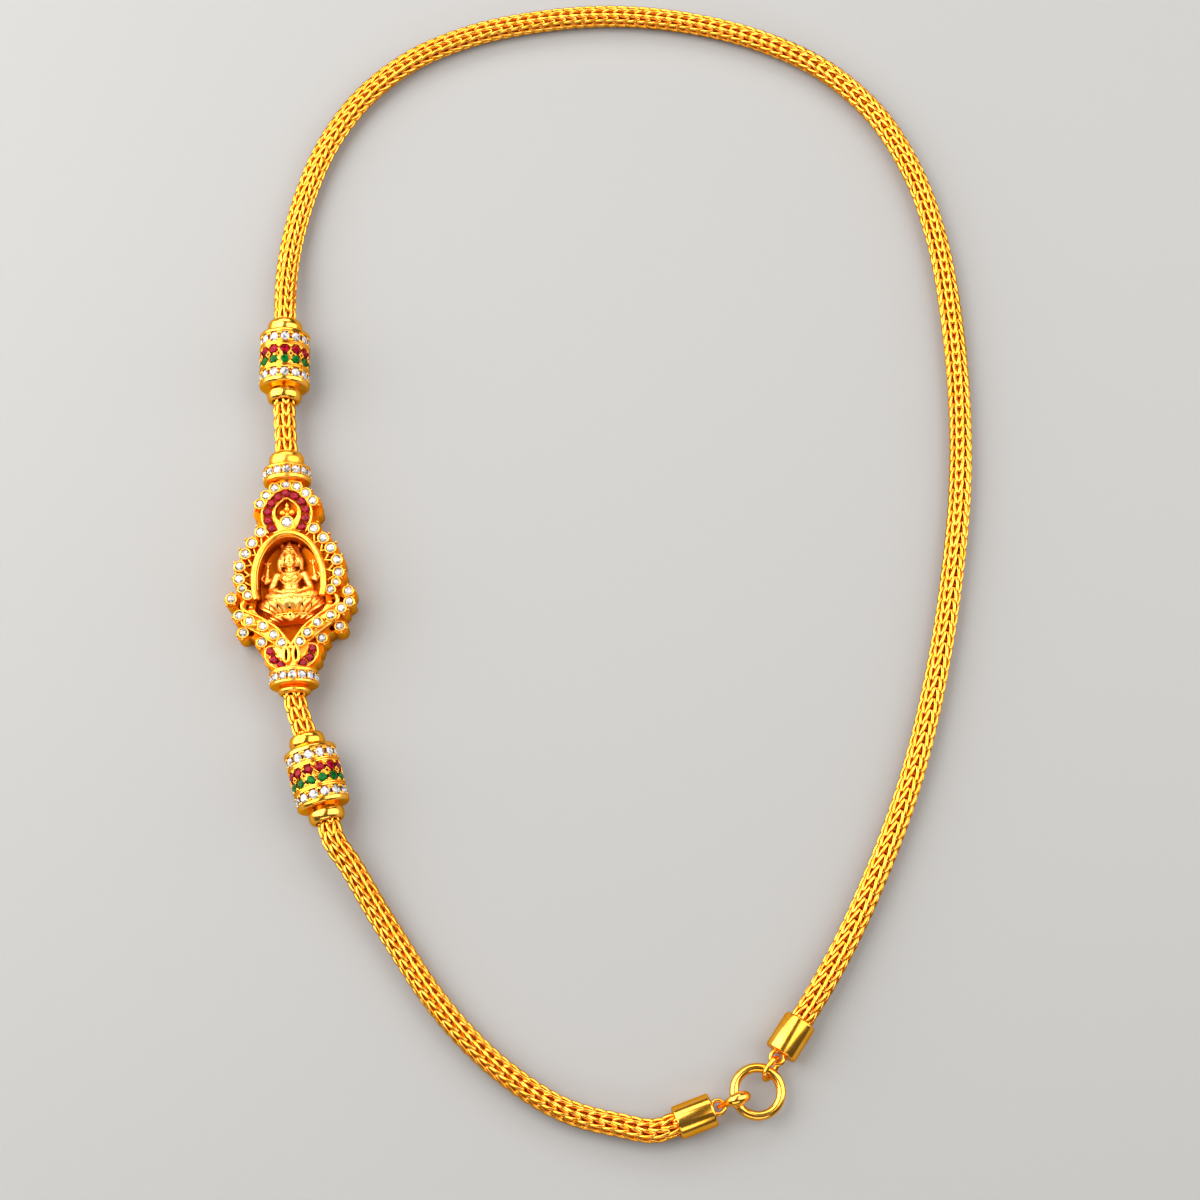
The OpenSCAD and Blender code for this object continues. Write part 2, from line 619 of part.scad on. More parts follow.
chain_long();
chain_upper_short();
chain_lower_short();
chain_tail();
barrel(upper_barrel_at);  // upper_barrel
barrel_whites(upper_barrel_at, 1, upper_turns[0]);  // upper_barrel_top_whites
barrel_colours(upper_barrel_at, 1, upper_turns[1], ruby);  // upper_barrel_rubies
barrel_colours(upper_barrel_at, -1, upper_turns[2], emerald);  // upper_barrel_emeralds
barrel_whites(upper_barrel_at, -1, upper_turns[3]);  // upper_barrel_bottom_whites
barrel(lower_barrel_at);  // lower_barrel
barrel_whites(lower_barrel_at, 1, lower_turns[0]);  // lower_barrel_top_whites
barrel_colours(lower_barrel_at, 1, lower_turns[1], ruby);  // lower_barrel_rubies
barrel_colours(lower_barrel_at, -1, lower_turns[2], emerald);  // lower_barrel_emeralds
barrel_whites(lower_barrel_at, -1, lower_turns[3]);  // lower_barrel_bottom_whites
pendant_body();
seated_figure();
lotus_seat();
collar_whites(upper_collar_v, collar_turns[0]);  // upper_collar_whites
collar_whites(lower_collar_v, collar_turns[1]);  // lower_collar_whites
stones_at(both(crown_row), crown_white_d, cup_top, clear);  // crown_whites
stones_at(ruby_line, ruby_d, crown_top, ruby);  // crown_rubies
stones_at([centre_stone_at], centre_stone_d, crown_top, clear);  // crown_centre_stone
frame_whites(-1);  // left_frame_whites
frame_whites(1);  // right_frame_whites
band_whites();
stones_at(both(base_row), ruby_d, base_top, ruby);  // base_rubies
end_cap(right_cap_at);  // right_end_cap
end_cap(left_cap_at);  // left_end_cap
ring_link();
clasp_ring();
clasp_hook();
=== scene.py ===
"""Looks of the thali necklace: knitted rope chain, stone-set barrel beads, cast pendant and clasp."""
import math

import bmesh
import bpy
from mathutils import Matrix, Vector


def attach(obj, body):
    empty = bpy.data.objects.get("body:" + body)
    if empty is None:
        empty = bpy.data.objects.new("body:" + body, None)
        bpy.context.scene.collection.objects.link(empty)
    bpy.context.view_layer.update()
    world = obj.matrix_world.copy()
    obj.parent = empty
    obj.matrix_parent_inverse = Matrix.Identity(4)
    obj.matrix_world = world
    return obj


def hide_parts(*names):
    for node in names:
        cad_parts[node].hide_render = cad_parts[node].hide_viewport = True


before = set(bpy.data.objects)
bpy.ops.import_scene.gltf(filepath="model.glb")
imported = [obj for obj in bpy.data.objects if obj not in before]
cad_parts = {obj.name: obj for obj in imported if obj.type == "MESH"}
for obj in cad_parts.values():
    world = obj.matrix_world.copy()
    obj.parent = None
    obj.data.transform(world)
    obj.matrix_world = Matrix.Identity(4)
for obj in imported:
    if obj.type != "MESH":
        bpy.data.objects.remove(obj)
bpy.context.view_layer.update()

# Sizes are in millimetres, as in the part's source. settle() brings a finished piece into the frame.
# The place of a piece is across, along and its turn in degrees.
MM = 0.001
SHIFT = (-0.43, 1.07)
AXIS_H = 5.1
CAP_AXIS_H = 3.1
UPPER_BARREL = (-64.5, 33.4, 1.9)
LOWER_BARREL = (-54.6, -52.6, 16.8)
PENDANT = (-61.3, -12.9, 4.3)
RIGHT_CAP = (34.7, -100.9, -33.8)
LEFT_CAP = (16.8, -115.2, 110.7)
RING = (28.4, -110.8, 0)
BARREL_HALF = 8.8
CAP_HALF = 3.6
UPPER_DOME_END = 26.3
LOWER_DOME_END = -23.4
BORE_R = 2.42
WELD_GAP = 0.0004

TURN = Matrix.Rotation(math.radians(-90), 4, "X")


def rot(degrees, axis):
    return Matrix.Rotation(math.radians(degrees), 4, axis)


def move(x, y, z):
    return Matrix.Translation((x, y, z))


def lie(at, height=0.0):
    """A piece that lies turned about the upright axis"""
    return Matrix.Scale(MM, 4) @ move(at[0] + SHIFT[0], at[1] + SHIFT[1], height) @ rot(at[2], "Z")


def loose():
    """The place of what is modelled in the necklace's own millimetres"""
    return Matrix.Scale(MM, 4) @ move(SHIFT[0], SHIFT[1], 0)


# ---- materials

BUMP_HEIGHT = 0.00002
# Size of the cells of painted sparkle on the cut stones
PAINTED_SPARKLE_SCALE = 2300.0


def principled(name):
    mat = bpy.data.materials.new(name)
    mat.use_nodes = True
    tree = mat.node_tree
    return mat, tree, tree.nodes["Principled BSDF"]


def node(tree, kind, **inputs):
    """A new node. A space in the name of an input is written as an underscore"""
    made = tree.nodes.new(kind)
    for key, value in inputs.items():
        made.inputs[key.replace("_", " ")].default_value = value
    return made


def two_tones(tree, shader, amount, low, deep, high, light):
    """Colours the shader by a ramp, from a deep tone at low to a light one at high"""
    mix = node(tree, "ShaderNodeValToRGB")
    for stop, at, tone in zip(mix.color_ramp.elements, (low, high), (deep, light)):
        stop.position = at
        stop.color = (*tone, 1)
    tree.links.new(amount, mix.inputs["Fac"])
    tree.links.new(mix.outputs["Color"], shader.inputs["Base Color"])


def gold(name, light, deep, rough, grain, dent):
    """Gold with a fine change of tone and polish and a shallow cast or drawn surface"""
    mat, tree, shader = principled(name)
    shader.inputs["Metallic"].default_value = 1.0
    shader.inputs["Specular Tint"].default_value = (1.0, 0.62, 0.2, 1)
    place = node(tree, "ShaderNodeTexCoord")
    tone = node(tree, "ShaderNodeTexNoise", Scale=grain, Detail=3.0)
    tree.links.new(place.outputs["Object"], tone.inputs["Vector"])
    two_tones(tree, shader, tone.outputs["Fac"], 0.3, deep, 0.7, light)
    polish = node(tree, "ShaderNodeMapRange", To_Min=rough * 0.8, To_Max=rough * 1.25)
    tree.links.new(tone.outputs["Fac"], polish.inputs["Value"])
    tree.links.new(polish.outputs["Result"], shader.inputs["Roughness"])
    fine = node(tree, "ShaderNodeTexNoise", Scale=grain * 3.5, Detail=2.0)
    tree.links.new(place.outputs["Object"], fine.inputs["Vector"])
    bump = node(tree, "ShaderNodeBump", Strength=dent, Distance=BUMP_HEIGHT)
    tree.links.new(fine.outputs["Fac"], bump.inputs["Height"])
    tree.links.new(bump.outputs["Normal"], shader.inputs["Normal"])
    return mat


def gem(name, colour, edge, index, clear, shine):
    """Cut stone: darker and lighter tones in small cells as painted sparkle, hard polish"""
    mat, tree, shader = principled(name)
    shader.inputs["Roughness"].default_value = 0.04
    shader.inputs["IOR"].default_value = index
    shader.inputs["Transmission Weight"].default_value = clear
    shader.inputs["Specular IOR Level"].default_value = shine
    place = node(tree, "ShaderNodeTexCoord")
    # Cells of darker and lighter tone across the stone are painted sparkle
    painted_sparkle = node(tree, "ShaderNodeTexVoronoi", Scale=PAINTED_SPARKLE_SCALE)
    tree.links.new(place.outputs["Object"], painted_sparkle.inputs["Vector"])
    two_tones(tree, shader, painted_sparkle.outputs["Color"], 0.28, colour, 0.6, edge)
    return mat


# Light tone, deep tone, roughness, grain and dent
POLISHED = gold("polished_gold", (1.0, 0.52, 0.09), (0.95, 0.42, 0.03), 0.19, 260.0, 0.12)
CAST = gold("cast_gold", (1.0, 0.52, 0.09), (0.95, 0.40, 0.025), 0.28, 700.0, 0.4)
WIRE = gold("wire_gold", (1.0, 0.50, 0.08), (0.92, 0.34, 0.016), 0.22, 900.0, 0.2)
# Darker copy of the gold, painted into recesses, hollows and the rope's core as painted shade
RECESS_SHADE = gold("recess_gold_painted_shade", (0.72, 0.19, 0.004), (0.5, 0.1, 0.001), 0.5, 500.0, 0.6)
# Lighter, yellower copy of the gold for the figure and lotus: painted light against the niche's shade
FIGURE_PAINTED_LIGHT = gold("figure_gold_painted_light", (1.0, 0.64, 0.16), (1.0, 0.52, 0.08), 0.36, 700.0, 0.3)
# Near-black gold for the dark lenses set in openings: painted shade
HOLE_SHADE = gold("hole_painted_shade", (0.06, 0.012, 0.0005), (0.03, 0.005, 0.0002), 0.7, 500.0, 0.4)
# Dark and light tones of the painted sparkle, index, clearness and shine
RUBY = gem("ruby_glass", (0.10, 0.0001, 0.004), (0.32, 0.0005, 0.015), 1.6, 0.05, 0.08)
EMERALD = gem("emerald_glass", (0.0, 0.05, 0.005), (0.0, 0.15, 0.018), 1.55, 0.05, 0.08)
CLEAR = gem("clear_stone", (0.2, 0.18, 0.14), (0.78, 0.78, 0.8), 2.1, 0.4, 0.4)


# ---- modelling


def only(obj):
    """Selects obj alone"""
    bpy.ops.object.select_all(action="DESELECT")
    obj.select_set(True)
    bpy.context.view_layer.objects.active = obj
    return obj


def edit(obj, *steps):
    """Runs steps in edit mode on all of obj"""
    only(obj)
    bpy.ops.object.mode_set(mode="EDIT")
    bpy.ops.mesh.select_all(action="SELECT")
    for step in steps:
        step()
    bpy.ops.object.mode_set(mode="OBJECT")
    return obj


def weld():
    bpy.ops.mesh.select_all(action="SELECT")
    bpy.ops.mesh.remove_doubles(threshold=WELD_GAP)
    bpy.ops.mesh.dissolve_degenerate(threshold=WELD_GAP)
    bpy.ops.mesh.select_all(action="SELECT")
    bpy.ops.mesh.normals_make_consistent(inside=False)


def apply_all(obj):
    only(obj)
    for modifier in list(obj.modifiers):
        bpy.ops.object.modifier_apply(modifier=modifier.name)
    return obj


def soften(obj, width, segments=2, angle=35):
    bevel = only(obj).modifiers.new("soft edges", "BEVEL")
    bevel.width = width
    bevel.segments = segments
    bevel.limit_method = "ANGLE"
    bevel.angle_limit = math.radians(angle)
    bevel.use_clamp_overlap = True
    return apply_all(obj)


def smooth(obj, angle=50):
    only(obj)
    bpy.ops.object.shade_smooth_by_angle(angle=math.radians(angle))
    return obj


def outline_loop(outline, closed=True):
    """An edge loop in the XZ plane, from a circle with a corner for each row (radius, height)"""
    bpy.ops.object.select_all(action="DESELECT")
    bpy.ops.mesh.primitive_circle_add(vertices=len(outline), radius=1)
    obj = bpy.context.object
    for corner, (r, z) in zip(obj.data.vertices, outline):
        corner.co = (r, 0, z)
    if not closed:
        shape = bmesh.new()
        shape.from_mesh(obj.data)
        shape.verts.ensure_lookup_table()
        first, last = shape.verts[0], shape.verts[-1]
        shape.edges.remove(next(e for e in first.link_edges if e.other_vert(first) == last))
        shape.to_mesh(obj.data)
        shape.free()
    return obj


def turned_part(outline, steps=64, closed=True, angle=50):
    """A turned part: the outline spun round the Z axis"""
    def spin():
        bpy.ops.mesh.spin(steps=steps, angle=2 * math.pi, center=(0, 0, 0), axis=(0, 0, 1))

    return smooth(edit(outline_loop(outline, closed), spin, weld), angle)


def arc(mid, half, a0, a1, steps):
    """Points on an arc: its middle, half sizes, first and last angle in degrees, and steps"""
    turns = [math.radians(a0 + (a1 - a0) * i / steps) for i in range(steps + 1)]
    return [(mid[0] + half[0] * math.cos(t), mid[1] + half[1] * math.sin(t)) for t in turns]


def ball(radius, sides=10, rings=6, scale=(1, 1, 1)):
    bpy.ops.object.select_all(action="DESELECT")
    bpy.ops.mesh.primitive_uv_sphere_add(segments=sides, ring_count=rings, radius=radius)
    obj = bpy.context.object
    obj.data.transform(Matrix.Diagonal((*scale, 1)))
    bpy.ops.object.shade_smooth()
    return obj


def torus(radius, thick, rounds, sides):
    """A ring of round wire: the radius of its middle line, and the wire's radius"""
    bpy.ops.object.select_all(action="DESELECT")
    bpy.ops.mesh.primitive_torus_add(
        major_radius=radius, minor_radius=thick, major_segments=rounds, minor_segments=sides)
    bpy.ops.object.shade_smooth()
    return bpy.context.object


def placed(obj, place):
    """Moves the mesh of obj to its place"""
    obj.data.transform(place)
    return obj


def linked(name, data):
    """A new object in the scene"""
    obj = bpy.data.objects.new(name, data)
    bpy.context.scene.collection.objects.link(obj)
    return obj


def as_mesh(obj):
    """Turns a curve into a smooth mesh"""
    only(obj)
    bpy.ops.object.convert(target="MESH")
    bpy.ops.object.shade_smooth()
    return bpy.context.object


def copies(model, places):
    """Copies of a model, each with its own mesh"""
    made = []
    for place in places:
        one = model.copy()
        one.data = model.data.copy()
        one.data.transform(place)
        bpy.context.scene.collection.objects.link(one)
        made.append(one)
    return made


def drop(*objects):
    for obj in objects:
        bpy.data.objects.remove(obj)


def joined(parts):
    bpy.ops.object.select_all(action="DESELECT")
    for part in parts:
        part.select_set(True)
    bpy.context.view_layer.objects.active = parts[0]
    if len(parts) > 1:
        bpy.ops.object.join()
    return bpy.context.view_layer.objects.active


def settle(obj, name, place, mats, slot, *nodes):
    """Names a finished piece, puts its place into its mesh, and ties it to the frame"""
    obj.name = name
    obj.data.transform(place)
    obj.matrix_world = Matrix.Identity(4)
    for mat in mats:
        obj.data.materials.append(mat)
    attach(obj, "root")
    if nodes:
        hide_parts(*nodes)
    return obj


def paint(obj, index):
    for face in obj.data.polygons:
        face.material_index = index
    return obj


# ---- knitted rope chain

WALES = 5
ROW_PITCH = 2.3
WIRE_R = 0.38
WIRE_MID = 1.74
WIRE_WAVE = 0.2
WIRE_SWAY = 0.15
LOOP_REACH = 1.75
LOOP_LEAN = 0.15
STITCH_STEPS = 16
CORE_R = WIRE_MID - 0.42
END_SLACK = 1
# How far a rope goes into its socket, past the mouth, and straight on
IN_SOCKET = 2.2
PAST_MOUTH = 0.2
STRAIGHT_OUT = 3

LONG_RUN = [
    (-65.1, 50, 4.4), (-64.6, 60, 3.1), (-62.6, 71, 2.45), (-57.9, 84.5, 2.35),
    (-50.8, 95.6, 2.3), (-41, 104.4, 2.3), (-29, 110.3, 2.3),
    (-13, 114.2, 2.3), (3, 115.4, 2.3), (19, 113.7, 2.3), (34, 109.4, 2.3),
    (47.4, 102.2, 2.3), (57.8, 91.8, 2.3), (65, 78.4, 2.3), (69.6, 62, 2.3),
    (71.8, 43, 2.3), (72.4, 24, 2.3), (71.5, 6, 2.3), (69, -12, 2.3),
    (65.1, -31.5, 2.3), (59.3, -52, 2.3), (51.2, -72, 2.35), (44.6, -85.2, 2.6),
]
TAIL_RUN = [
    (-47.6, -69.3, 4.2), (-42.9, -77, 3), (-37.5, -85.3, 2.45),
    (-32, -93.2, 2.35), (-25, -101.2, 2.3), (-16.6, -108.4, 2.3),
    (-6.8, -114.1, 2.35), (2.6, -116.6, 2.5),
]


def along(at, height, v):
    turn = math.radians(at[2])
    return Vector((at[0] - v * math.sin(turn), at[1] + v * math.cos(turn), height))


def socket_run(at, height, mouth, way, straight=True):
    """A rope's first points: in the socket, at its mouth, and straight out of it"""
    outs = (-IN_SOCKET, PAST_MOUTH, STRAIGHT_OUT) if straight else (-IN_SOCKET, PAST_MOUTH)
    return [along(at, height, mouth + way * out) for out in outs]


def course():
    """One knitted course: a wire that waves up and down, in and out, round the rope's axis"""
    steps = WALES * STITCH_STEPS
    data = bpy.data.curves.new("course", "CURVE")
    data.dimensions = "3D"
    line = data.splines.new("POLY")
    line.points.add(steps - 1)
    line.use_cyclic_u = True
    for i, point in enumerate(line.points):
        t = 2 * math.pi * WALES * i / steps
        turn = (t + WIRE_SWAY * math.sin(2 * t)) / WALES
        reach = LOOP_REACH * math.cos(t)
        r = WIRE_MID - WIRE_WAVE * math.cos(2 * t) + LOOP_LEAN * math.cos(t)
        point.co = (reach, r * math.cos(turn), r * math.sin(turn), 1)
    data.bevel_depth = WIRE_R
    data.bevel_resolution = 1
    return as_mesh(linked("course", data))


def route(points, twist):
    """The rope's way, as a Bezier curve with the same tangents as the part's source"""
    data = bpy.data.curves.new("route", "CURVE")
    data.dimensions = "3D"
    data.twist_mode = "Z_UP"
    data.resolution_u = 24
    line = data.splines.new("BEZIER")
    line.bezier_points.add(len(points) - 1)
    last = len(points) - 1
    for i, point in enumerate(points):
        before = points[i] - points[max(i - 1, 0)]
        after = points[min(i + 1, last)] - points[i]
        if i == 0 or i == last:
            speed = (after if i == 0 else before).normalized()
        else:
            speed = before.normalized() * after.length + after.normalized() * before.length
            speed /= before.length + after.length
        knot = line.bezier_points[i]
        knot.co = point
        knot.handle_left_type = knot.handle_right_type = "FREE"
        knot.handle_left = point - speed * before.length / 3
        knot.handle_right = point + speed * after.length / 3
        knot.tilt = math.radians(twist) * i / last
    return linked("route", data)


def rope(name, points, twist, cad_node):
    """Knitted courses round a core painted dark as the shade between the wires, along the points, with a
    twist in degrees
    """
    way = route(points, twist)
    length = way.data.splines[0].calc_length()
    rows = round((length - END_SLACK) / ROW_PITCH)
    wires = course()
    array = wires.modifiers.new("rows", "ARRAY")
    array.count = rows
    array.use_relative_offset = False
    array.use_constant_offset = True
    array.constant_offset_displace = (length / rows, 0, 0)
    wires.data.transform(move(length / rows / 2, 0, 0))
    bend = wires.modifiers.new("bend", "CURVE")
    bend.object = way
    bend.deform_axis = "POS_X"
    apply_all(wires)
    way.data.bevel_depth = CORE_R
    way.data.bevel_resolution = 4
    way.data.use_fill_caps = True
    way.data.resolution_u = 8
    core = as_mesh(way)
    # The wires take the wire gold, and the core takes the darker gold painted as the shade between them
    for index, obj in enumerate((wires, core)):
        obj.data.materials.clear()
        paint(obj, index)
        obj.data.materials.append(WIRE)
        obj.data.materials.append(RECESS_SHADE)
    return settle(joined([wires, core]), name, loose(), (), "gold", cad_node)


def ropes():
    upper_mouth = socket_run(UPPER_BARREL, AXIS_H, BARREL_HALF, 1)
    right_mouth = socket_run(RIGHT_CAP, CAP_AXIS_H, CAP_HALF, 1)
    lower_mouth = socket_run(LOWER_BARREL, AXIS_H, -BARREL_HALF, -1)
    left_mouth = socket_run(LEFT_CAP, CAP_AXIS_H, CAP_HALF, 1)
    rope("rope_long", upper_mouth + [Vector(p) for p in LONG_RUN] + right_mouth[::-1], 150, "chain_long")
    rope("rope_tail", lower_mouth + [Vector(p) for p in TAIL_RUN] + left_mouth[::-1], 50, "chain_tail")
    rope("rope_upper_short",
         socket_run(UPPER_BARREL, AXIS_H, -BARREL_HALF, -1, False)
         + socket_run(PENDANT, AXIS_H, UPPER_DOME_END, 1, False)[::-1], 0, "chain_upper_short")
    rope("rope_lower_short",
         socket_run(PENDANT, AXIS_H, LOWER_DOME_END, -1, False)
         + socket_run(LOWER_BARREL, AXIS_H, BARREL_HALF, 1, False)[::-1], 0, "chain_lower_short")


# ---- cut stones


def cut_stone():
    """A round brilliant of unit diameter: table, star and kite facets, girdle and pavilion"""
    rows = [  # radius, height, corners, turn
        (0.28, 0.16, 8, 0.5), (0.4, 0.105, 8, 0), (0.5, 0.015, 16, 0), (0.5, -0.015, 16, 0),
        (0.22, -0.25, 8, 0), (0.01, -0.42, 8, 0),
    ]
    rings = []
    for radius, height, corners, turn in rows:
        bpy.ops.object.select_all(action="DESELECT")
        bpy.ops.mesh.primitive_circle_add(vertices=corners, radius=radius, location=(0, 0, height))
        ring = bpy.context.object
        ring.data.transform(ring.matrix_world @ rot(360 / corners * turn, "Z"))
        ring.matrix_world = Matrix.Identity(4)
        rings.append(ring)
    obj = edit(joined(rings), lambda: bpy.ops.mesh.convex_hull(join_triangles=True), weld)
    bpy.ops.object.shade_flat()
    return obj


def ring_places(at, girdle_r, v, count, shift, d):
    """Places of stones set round an axis along the chain"""
    return [lie(at, AXIS_H) @ TURN @ rot(90 + 360 * (i + shift) / count, "Z") @ move(girdle_r, 0, v)
            @ rot(90, "Y") @ Matrix.Scale(d, 4) for i in range(count)]


def stones(name, model, places, mat, slot, cad_node):
    obj = joined(copies(model, places))
    obj.data.materials.clear()
    return settle(obj, name, Matrix.Identity(4), (mat,), slot, cad_node)


# ---- barrel beads

WHITE_D = 1.8
COLOUR_D = 1.7
STONE_COUNT = 13
COLLAR_COUNT = 15
# How far each row is turned, in shares of a stone's place: top whites, rubies, emeralds, bottom whites
UPPER_TURNS = (0.81, 0.81, 0.81, 0.81)
LOWER_TURNS = (0.48, 0.15, 0.15, 0.05)
COLLAR_TURNS = (0.77, 0.63)
BARREL_R = 5.05
GIRDLE_R = 4.75
ROW_V = 3.85
COLOUR_V = 1.04
BEAD_FLAT = 0.7


def dome_outline(foot, end, radius):
    """A domed cap's rounded outline, from its mouth to its foot"""
    half = (end - foot) / 2
    return arc((radius - 0.75, foot + half), (0.75, half), 90, -70, 14)


def barrel_body():
    half = 5.9
    groove_foot = 3.84
    edge = 0.12
    side = [(BORE_R, half + 1.0), (BORE_R, half + 2.8)]
    side += dome_outline(half + 0.05, half + 2.9, 3.45)
    side += [(3.15, half), (4.1, half - 0.04)]
    side += arc((4.4, half - 0.65), (0.65, 0.65), 80, 10, 5)
    for top, bottom in ((ROW_V + 1.0, ROW_V - 1.0), (COLOUR_V + 0.95, 0)):
        side += [(BARREL_R, top + edge), (BARREL_R - edge, top), (groove_foot, top)]
        if bottom:
            side += [(groove_foot, bottom), (BARREL_R - edge, bottom), (BARREL_R, bottom - edge)]
            side += [(BARREL_R, bottom - 0.33), (BARREL_R - 0.16, bottom - 0.43), (BARREL_R, bottom - 0.53)]
    return turned_part(side + [(r, -z) for r, z in reversed(side)], 96, angle=38)


def barrel_beads(bead, turns):
    """Prongs between the stones of each row, and a lozenge between each four coloured stones"""
    pitch = 360 / STONE_COUNT
    places = []

    def add(share, v, r, size, high=1.0):
        spot = rot(90 + pitch * share, "Z") @ move(r, 0, v)
        places.append(spot @ Matrix.Diagonal((size * BEAD_FLAT, size, size * high, 1)))

    for i in range(STONE_COUNT):
        for way, shift in ((1, turns[0]), (-1, turns[3])):
            for edge in (-1, 1):
                for side in (-1, 1):
                    add(i + shift + side * 0.37, way * ROW_V + edge * 0.72, BARREL_R - 0.14, 0.31)
                add(i + shift + 0.5, way * ROW_V + edge * 0.86, BARREL_R - 0.2, 0.34, 0.7)
        half = i + turns[1] + 0.5
        for edge in (-1, 1):
            add(half, edge * 1.7, BARREL_R - 0.14, 0.3, 1.2)
            for side in (-1, 1):
                add(half + side * 0.12, edge * 1.88, BARREL_R - 0.14, 0.26)
                add(half + side * 0.11, edge * 0.29, BARREL_R - 0.06, 0.19)
            add(half, edge * 0.56, BARREL_R - 0.06, 0.2, 1.1)
            add(half + edge * 0.2, 0, BARREL_R - 0.06, 0.2)
    return joined(copies(bead, places))


def barrels(stone, bead):
    for word, at, turns in (("upper", UPPER_BARREL, UPPER_TURNS), ("lower", LOWER_BARREL, LOWER_TURNS)):
        shell = joined([barrel_body(), barrel_beads(bead, turns)])
        settle(shell, word + "_barrel_shell", lie(at, AXIS_H) @ TURN, (POLISHED,), "gold", word + "_barrel")
        for row, v, shift, d, mat, slot in (
            ("top_whites", ROW_V, turns[0], WHITE_D, CLEAR, "white_stone"),
            ("rubies", COLOUR_V, turns[1], COLOUR_D, RUBY, "ruby"),
            ("emeralds", -COLOUR_V, turns[2], COLOUR_D, EMERALD, "emerald"),
            ("bottom_whites", -ROW_V, turns[3], WHITE_D, CLEAR, "white_stone"),
        ):
            stones(f"{word}_{row}_cut", stone, ring_places(at, GIRDLE_R, v, STONE_COUNT, shift, d), mat, slot,
                   f"{word}_barrel_{row}")


# ---- clasp

CAP_R = 3.1
EYE_R = 1.25
EYE_WIRE_R = 0.4
RING_MID_R = 4.325
RING_WIRE_R = 0.875
# The link: from and to, out from the ring's middle, its half width, its wire and its lean
LINK_INNER = 2.7
LINK_OUTER = 7.15
LINK_HALF = 1.7
LINK_WIRE_R = 0.45
LINK_LEAN = 25


def end_cap(name, at, cad_node):
    body = turned_part(
        [(0, -CAP_HALF)] + arc((CAP_R - 0.4, -CAP_HALF + 0.4), (0.4, 0.4), -90, 0, 6)
        + arc((CAP_R - 0.4, CAP_HALF - 0.4), (0.4, 0.4), 0, 90, 6)
        + arc((2.58, CAP_HALF - 0.16), (0.16, 0.16), 90, 180, 4) + [(BORE_R, 0.6), (0, 0.6)], 96, False, 40)
    eye = placed(torus(EYE_R, EYE_WIRE_R, 40, 14), move(0, 0, -CAP_HALF - 0.95) @ rot(90, "X"))
    return settle(joined([body, eye]), name, lie(at, CAP_AXIS_H) @ TURN, (POLISHED,), "gold", cad_node)


def tube(points, radii, closed, sides=3):
    """A wire along points, with its own radius at each"""
    data = bpy.data.curves.new("wire", "CURVE")
    data.dimensions = "3D"
    data.resolution_u = 5
    line = data.splines.new("BEZIER")
    line.bezier_points.add(len(points) - 1)
    for knot, point, radius in zip(line.bezier_points, points, radii):
        knot.co = point
        knot.radius = radius
        knot.handle_left_type = knot.handle_right_type = "AUTO"
    line.use_cyclic_u = closed
    data.bevel_depth = 1.0
    data.bevel_resolution = sides
    data.use_fill_caps = not closed
    return as_mesh(linked("wire", data))


def wire(points, radius, closed=False, sides=3):
    return tube([Vector(point) for point in points], [radius] * len(points), closed, sides)


HOOK_ROWS = [  # out from the ring's middle, above its plane, half thickness
    (5.82, -0.35, 0.3), (6.35, -0.88, 0.33), (7.05, -0.9, 0.35), (7.58, -0.45, 0.35),
    (7.7, 0.15, 0.35), (7.32, 0.8, 0.38), (6.65, 1.3, 0.5), (5.8, 1.9, 0.8),
    (4.9, 2.33, 1.12), (3.9, 2.32, 1.22), (2.95, 1.8, 1.1), (2.4, 0.95, 0.92),
    (2.3, 0, 0.8), (2.55, -0.95, 0.7), (3.35, -1.6, 0.62), (4.4, -1.75, 0.55),
    (5.25, -1.7, 0.42),
]


def clasp():
    end_cap("right_cap_shell", RIGHT_CAP, "right_end_cap")
    end_cap("left_cap_shell", LEFT_CAP, "left_end_cap")
    middle = Vector((RING[0], RING[1], CAP_AXIS_H))
    ring = torus(RING_MID_R, RING_WIRE_R, 96, 24)
    settle(ring, "clasp_ring_round", lie(RING, CAP_AXIS_H), (POLISHED,), "gold", "clasp_ring")
    way = Vector((RIGHT_CAP[0] - RING[0], RIGHT_CAP[1] - RING[1], 0)).normalized()
    lean = math.radians(LINK_LEAN)
    tilt = Vector((-way.y * math.sin(lean), way.x * math.sin(lean), math.cos(lean)))
    line = arc((LINK_OUTER - LINK_HALF, 0), (LINK_HALF, LINK_HALF), -90, 90, 6)
    line += arc((LINK_INNER + LINK_HALF, 0), (LINK_HALF, LINK_HALF), 90, 270, 6)
    link = wire([middle + x * way + z * tilt for x, z in line], LINK_WIRE_R, True, 5)
    settle(link, "ring_link_wire", loose(), (POLISHED,), "gold", "ring_link")
    way = Vector((LEFT_CAP[0] - RING[0], LEFT_CAP[1] - RING[1], 0)).normalized()
    line = [middle + x * way + Vector((0, 0, z)) for x, z, r in HOOK_ROWS]
    hook = tube(line, [row[2] for row in HOOK_ROWS], False, 6)
    settle(hook, "hook_cast", loose(), (POLISHED,), "gold", "clasp_hook")


# ---- pendant

COLLAR_D = 9.4
PENDANT_WHITE_D = 1.6
SMALL_WHITE_D = 1.5
RUBY_D = 1.65
CENTRE_D = 2.0
CUP_TOP = 7.9
CROWN_TOP = 7.8
BASE_TOP = 7.5
PROUD = 0.1
UPPER_COLLAR_V = 21.7
LOWER_COLLAR_V = -20.35

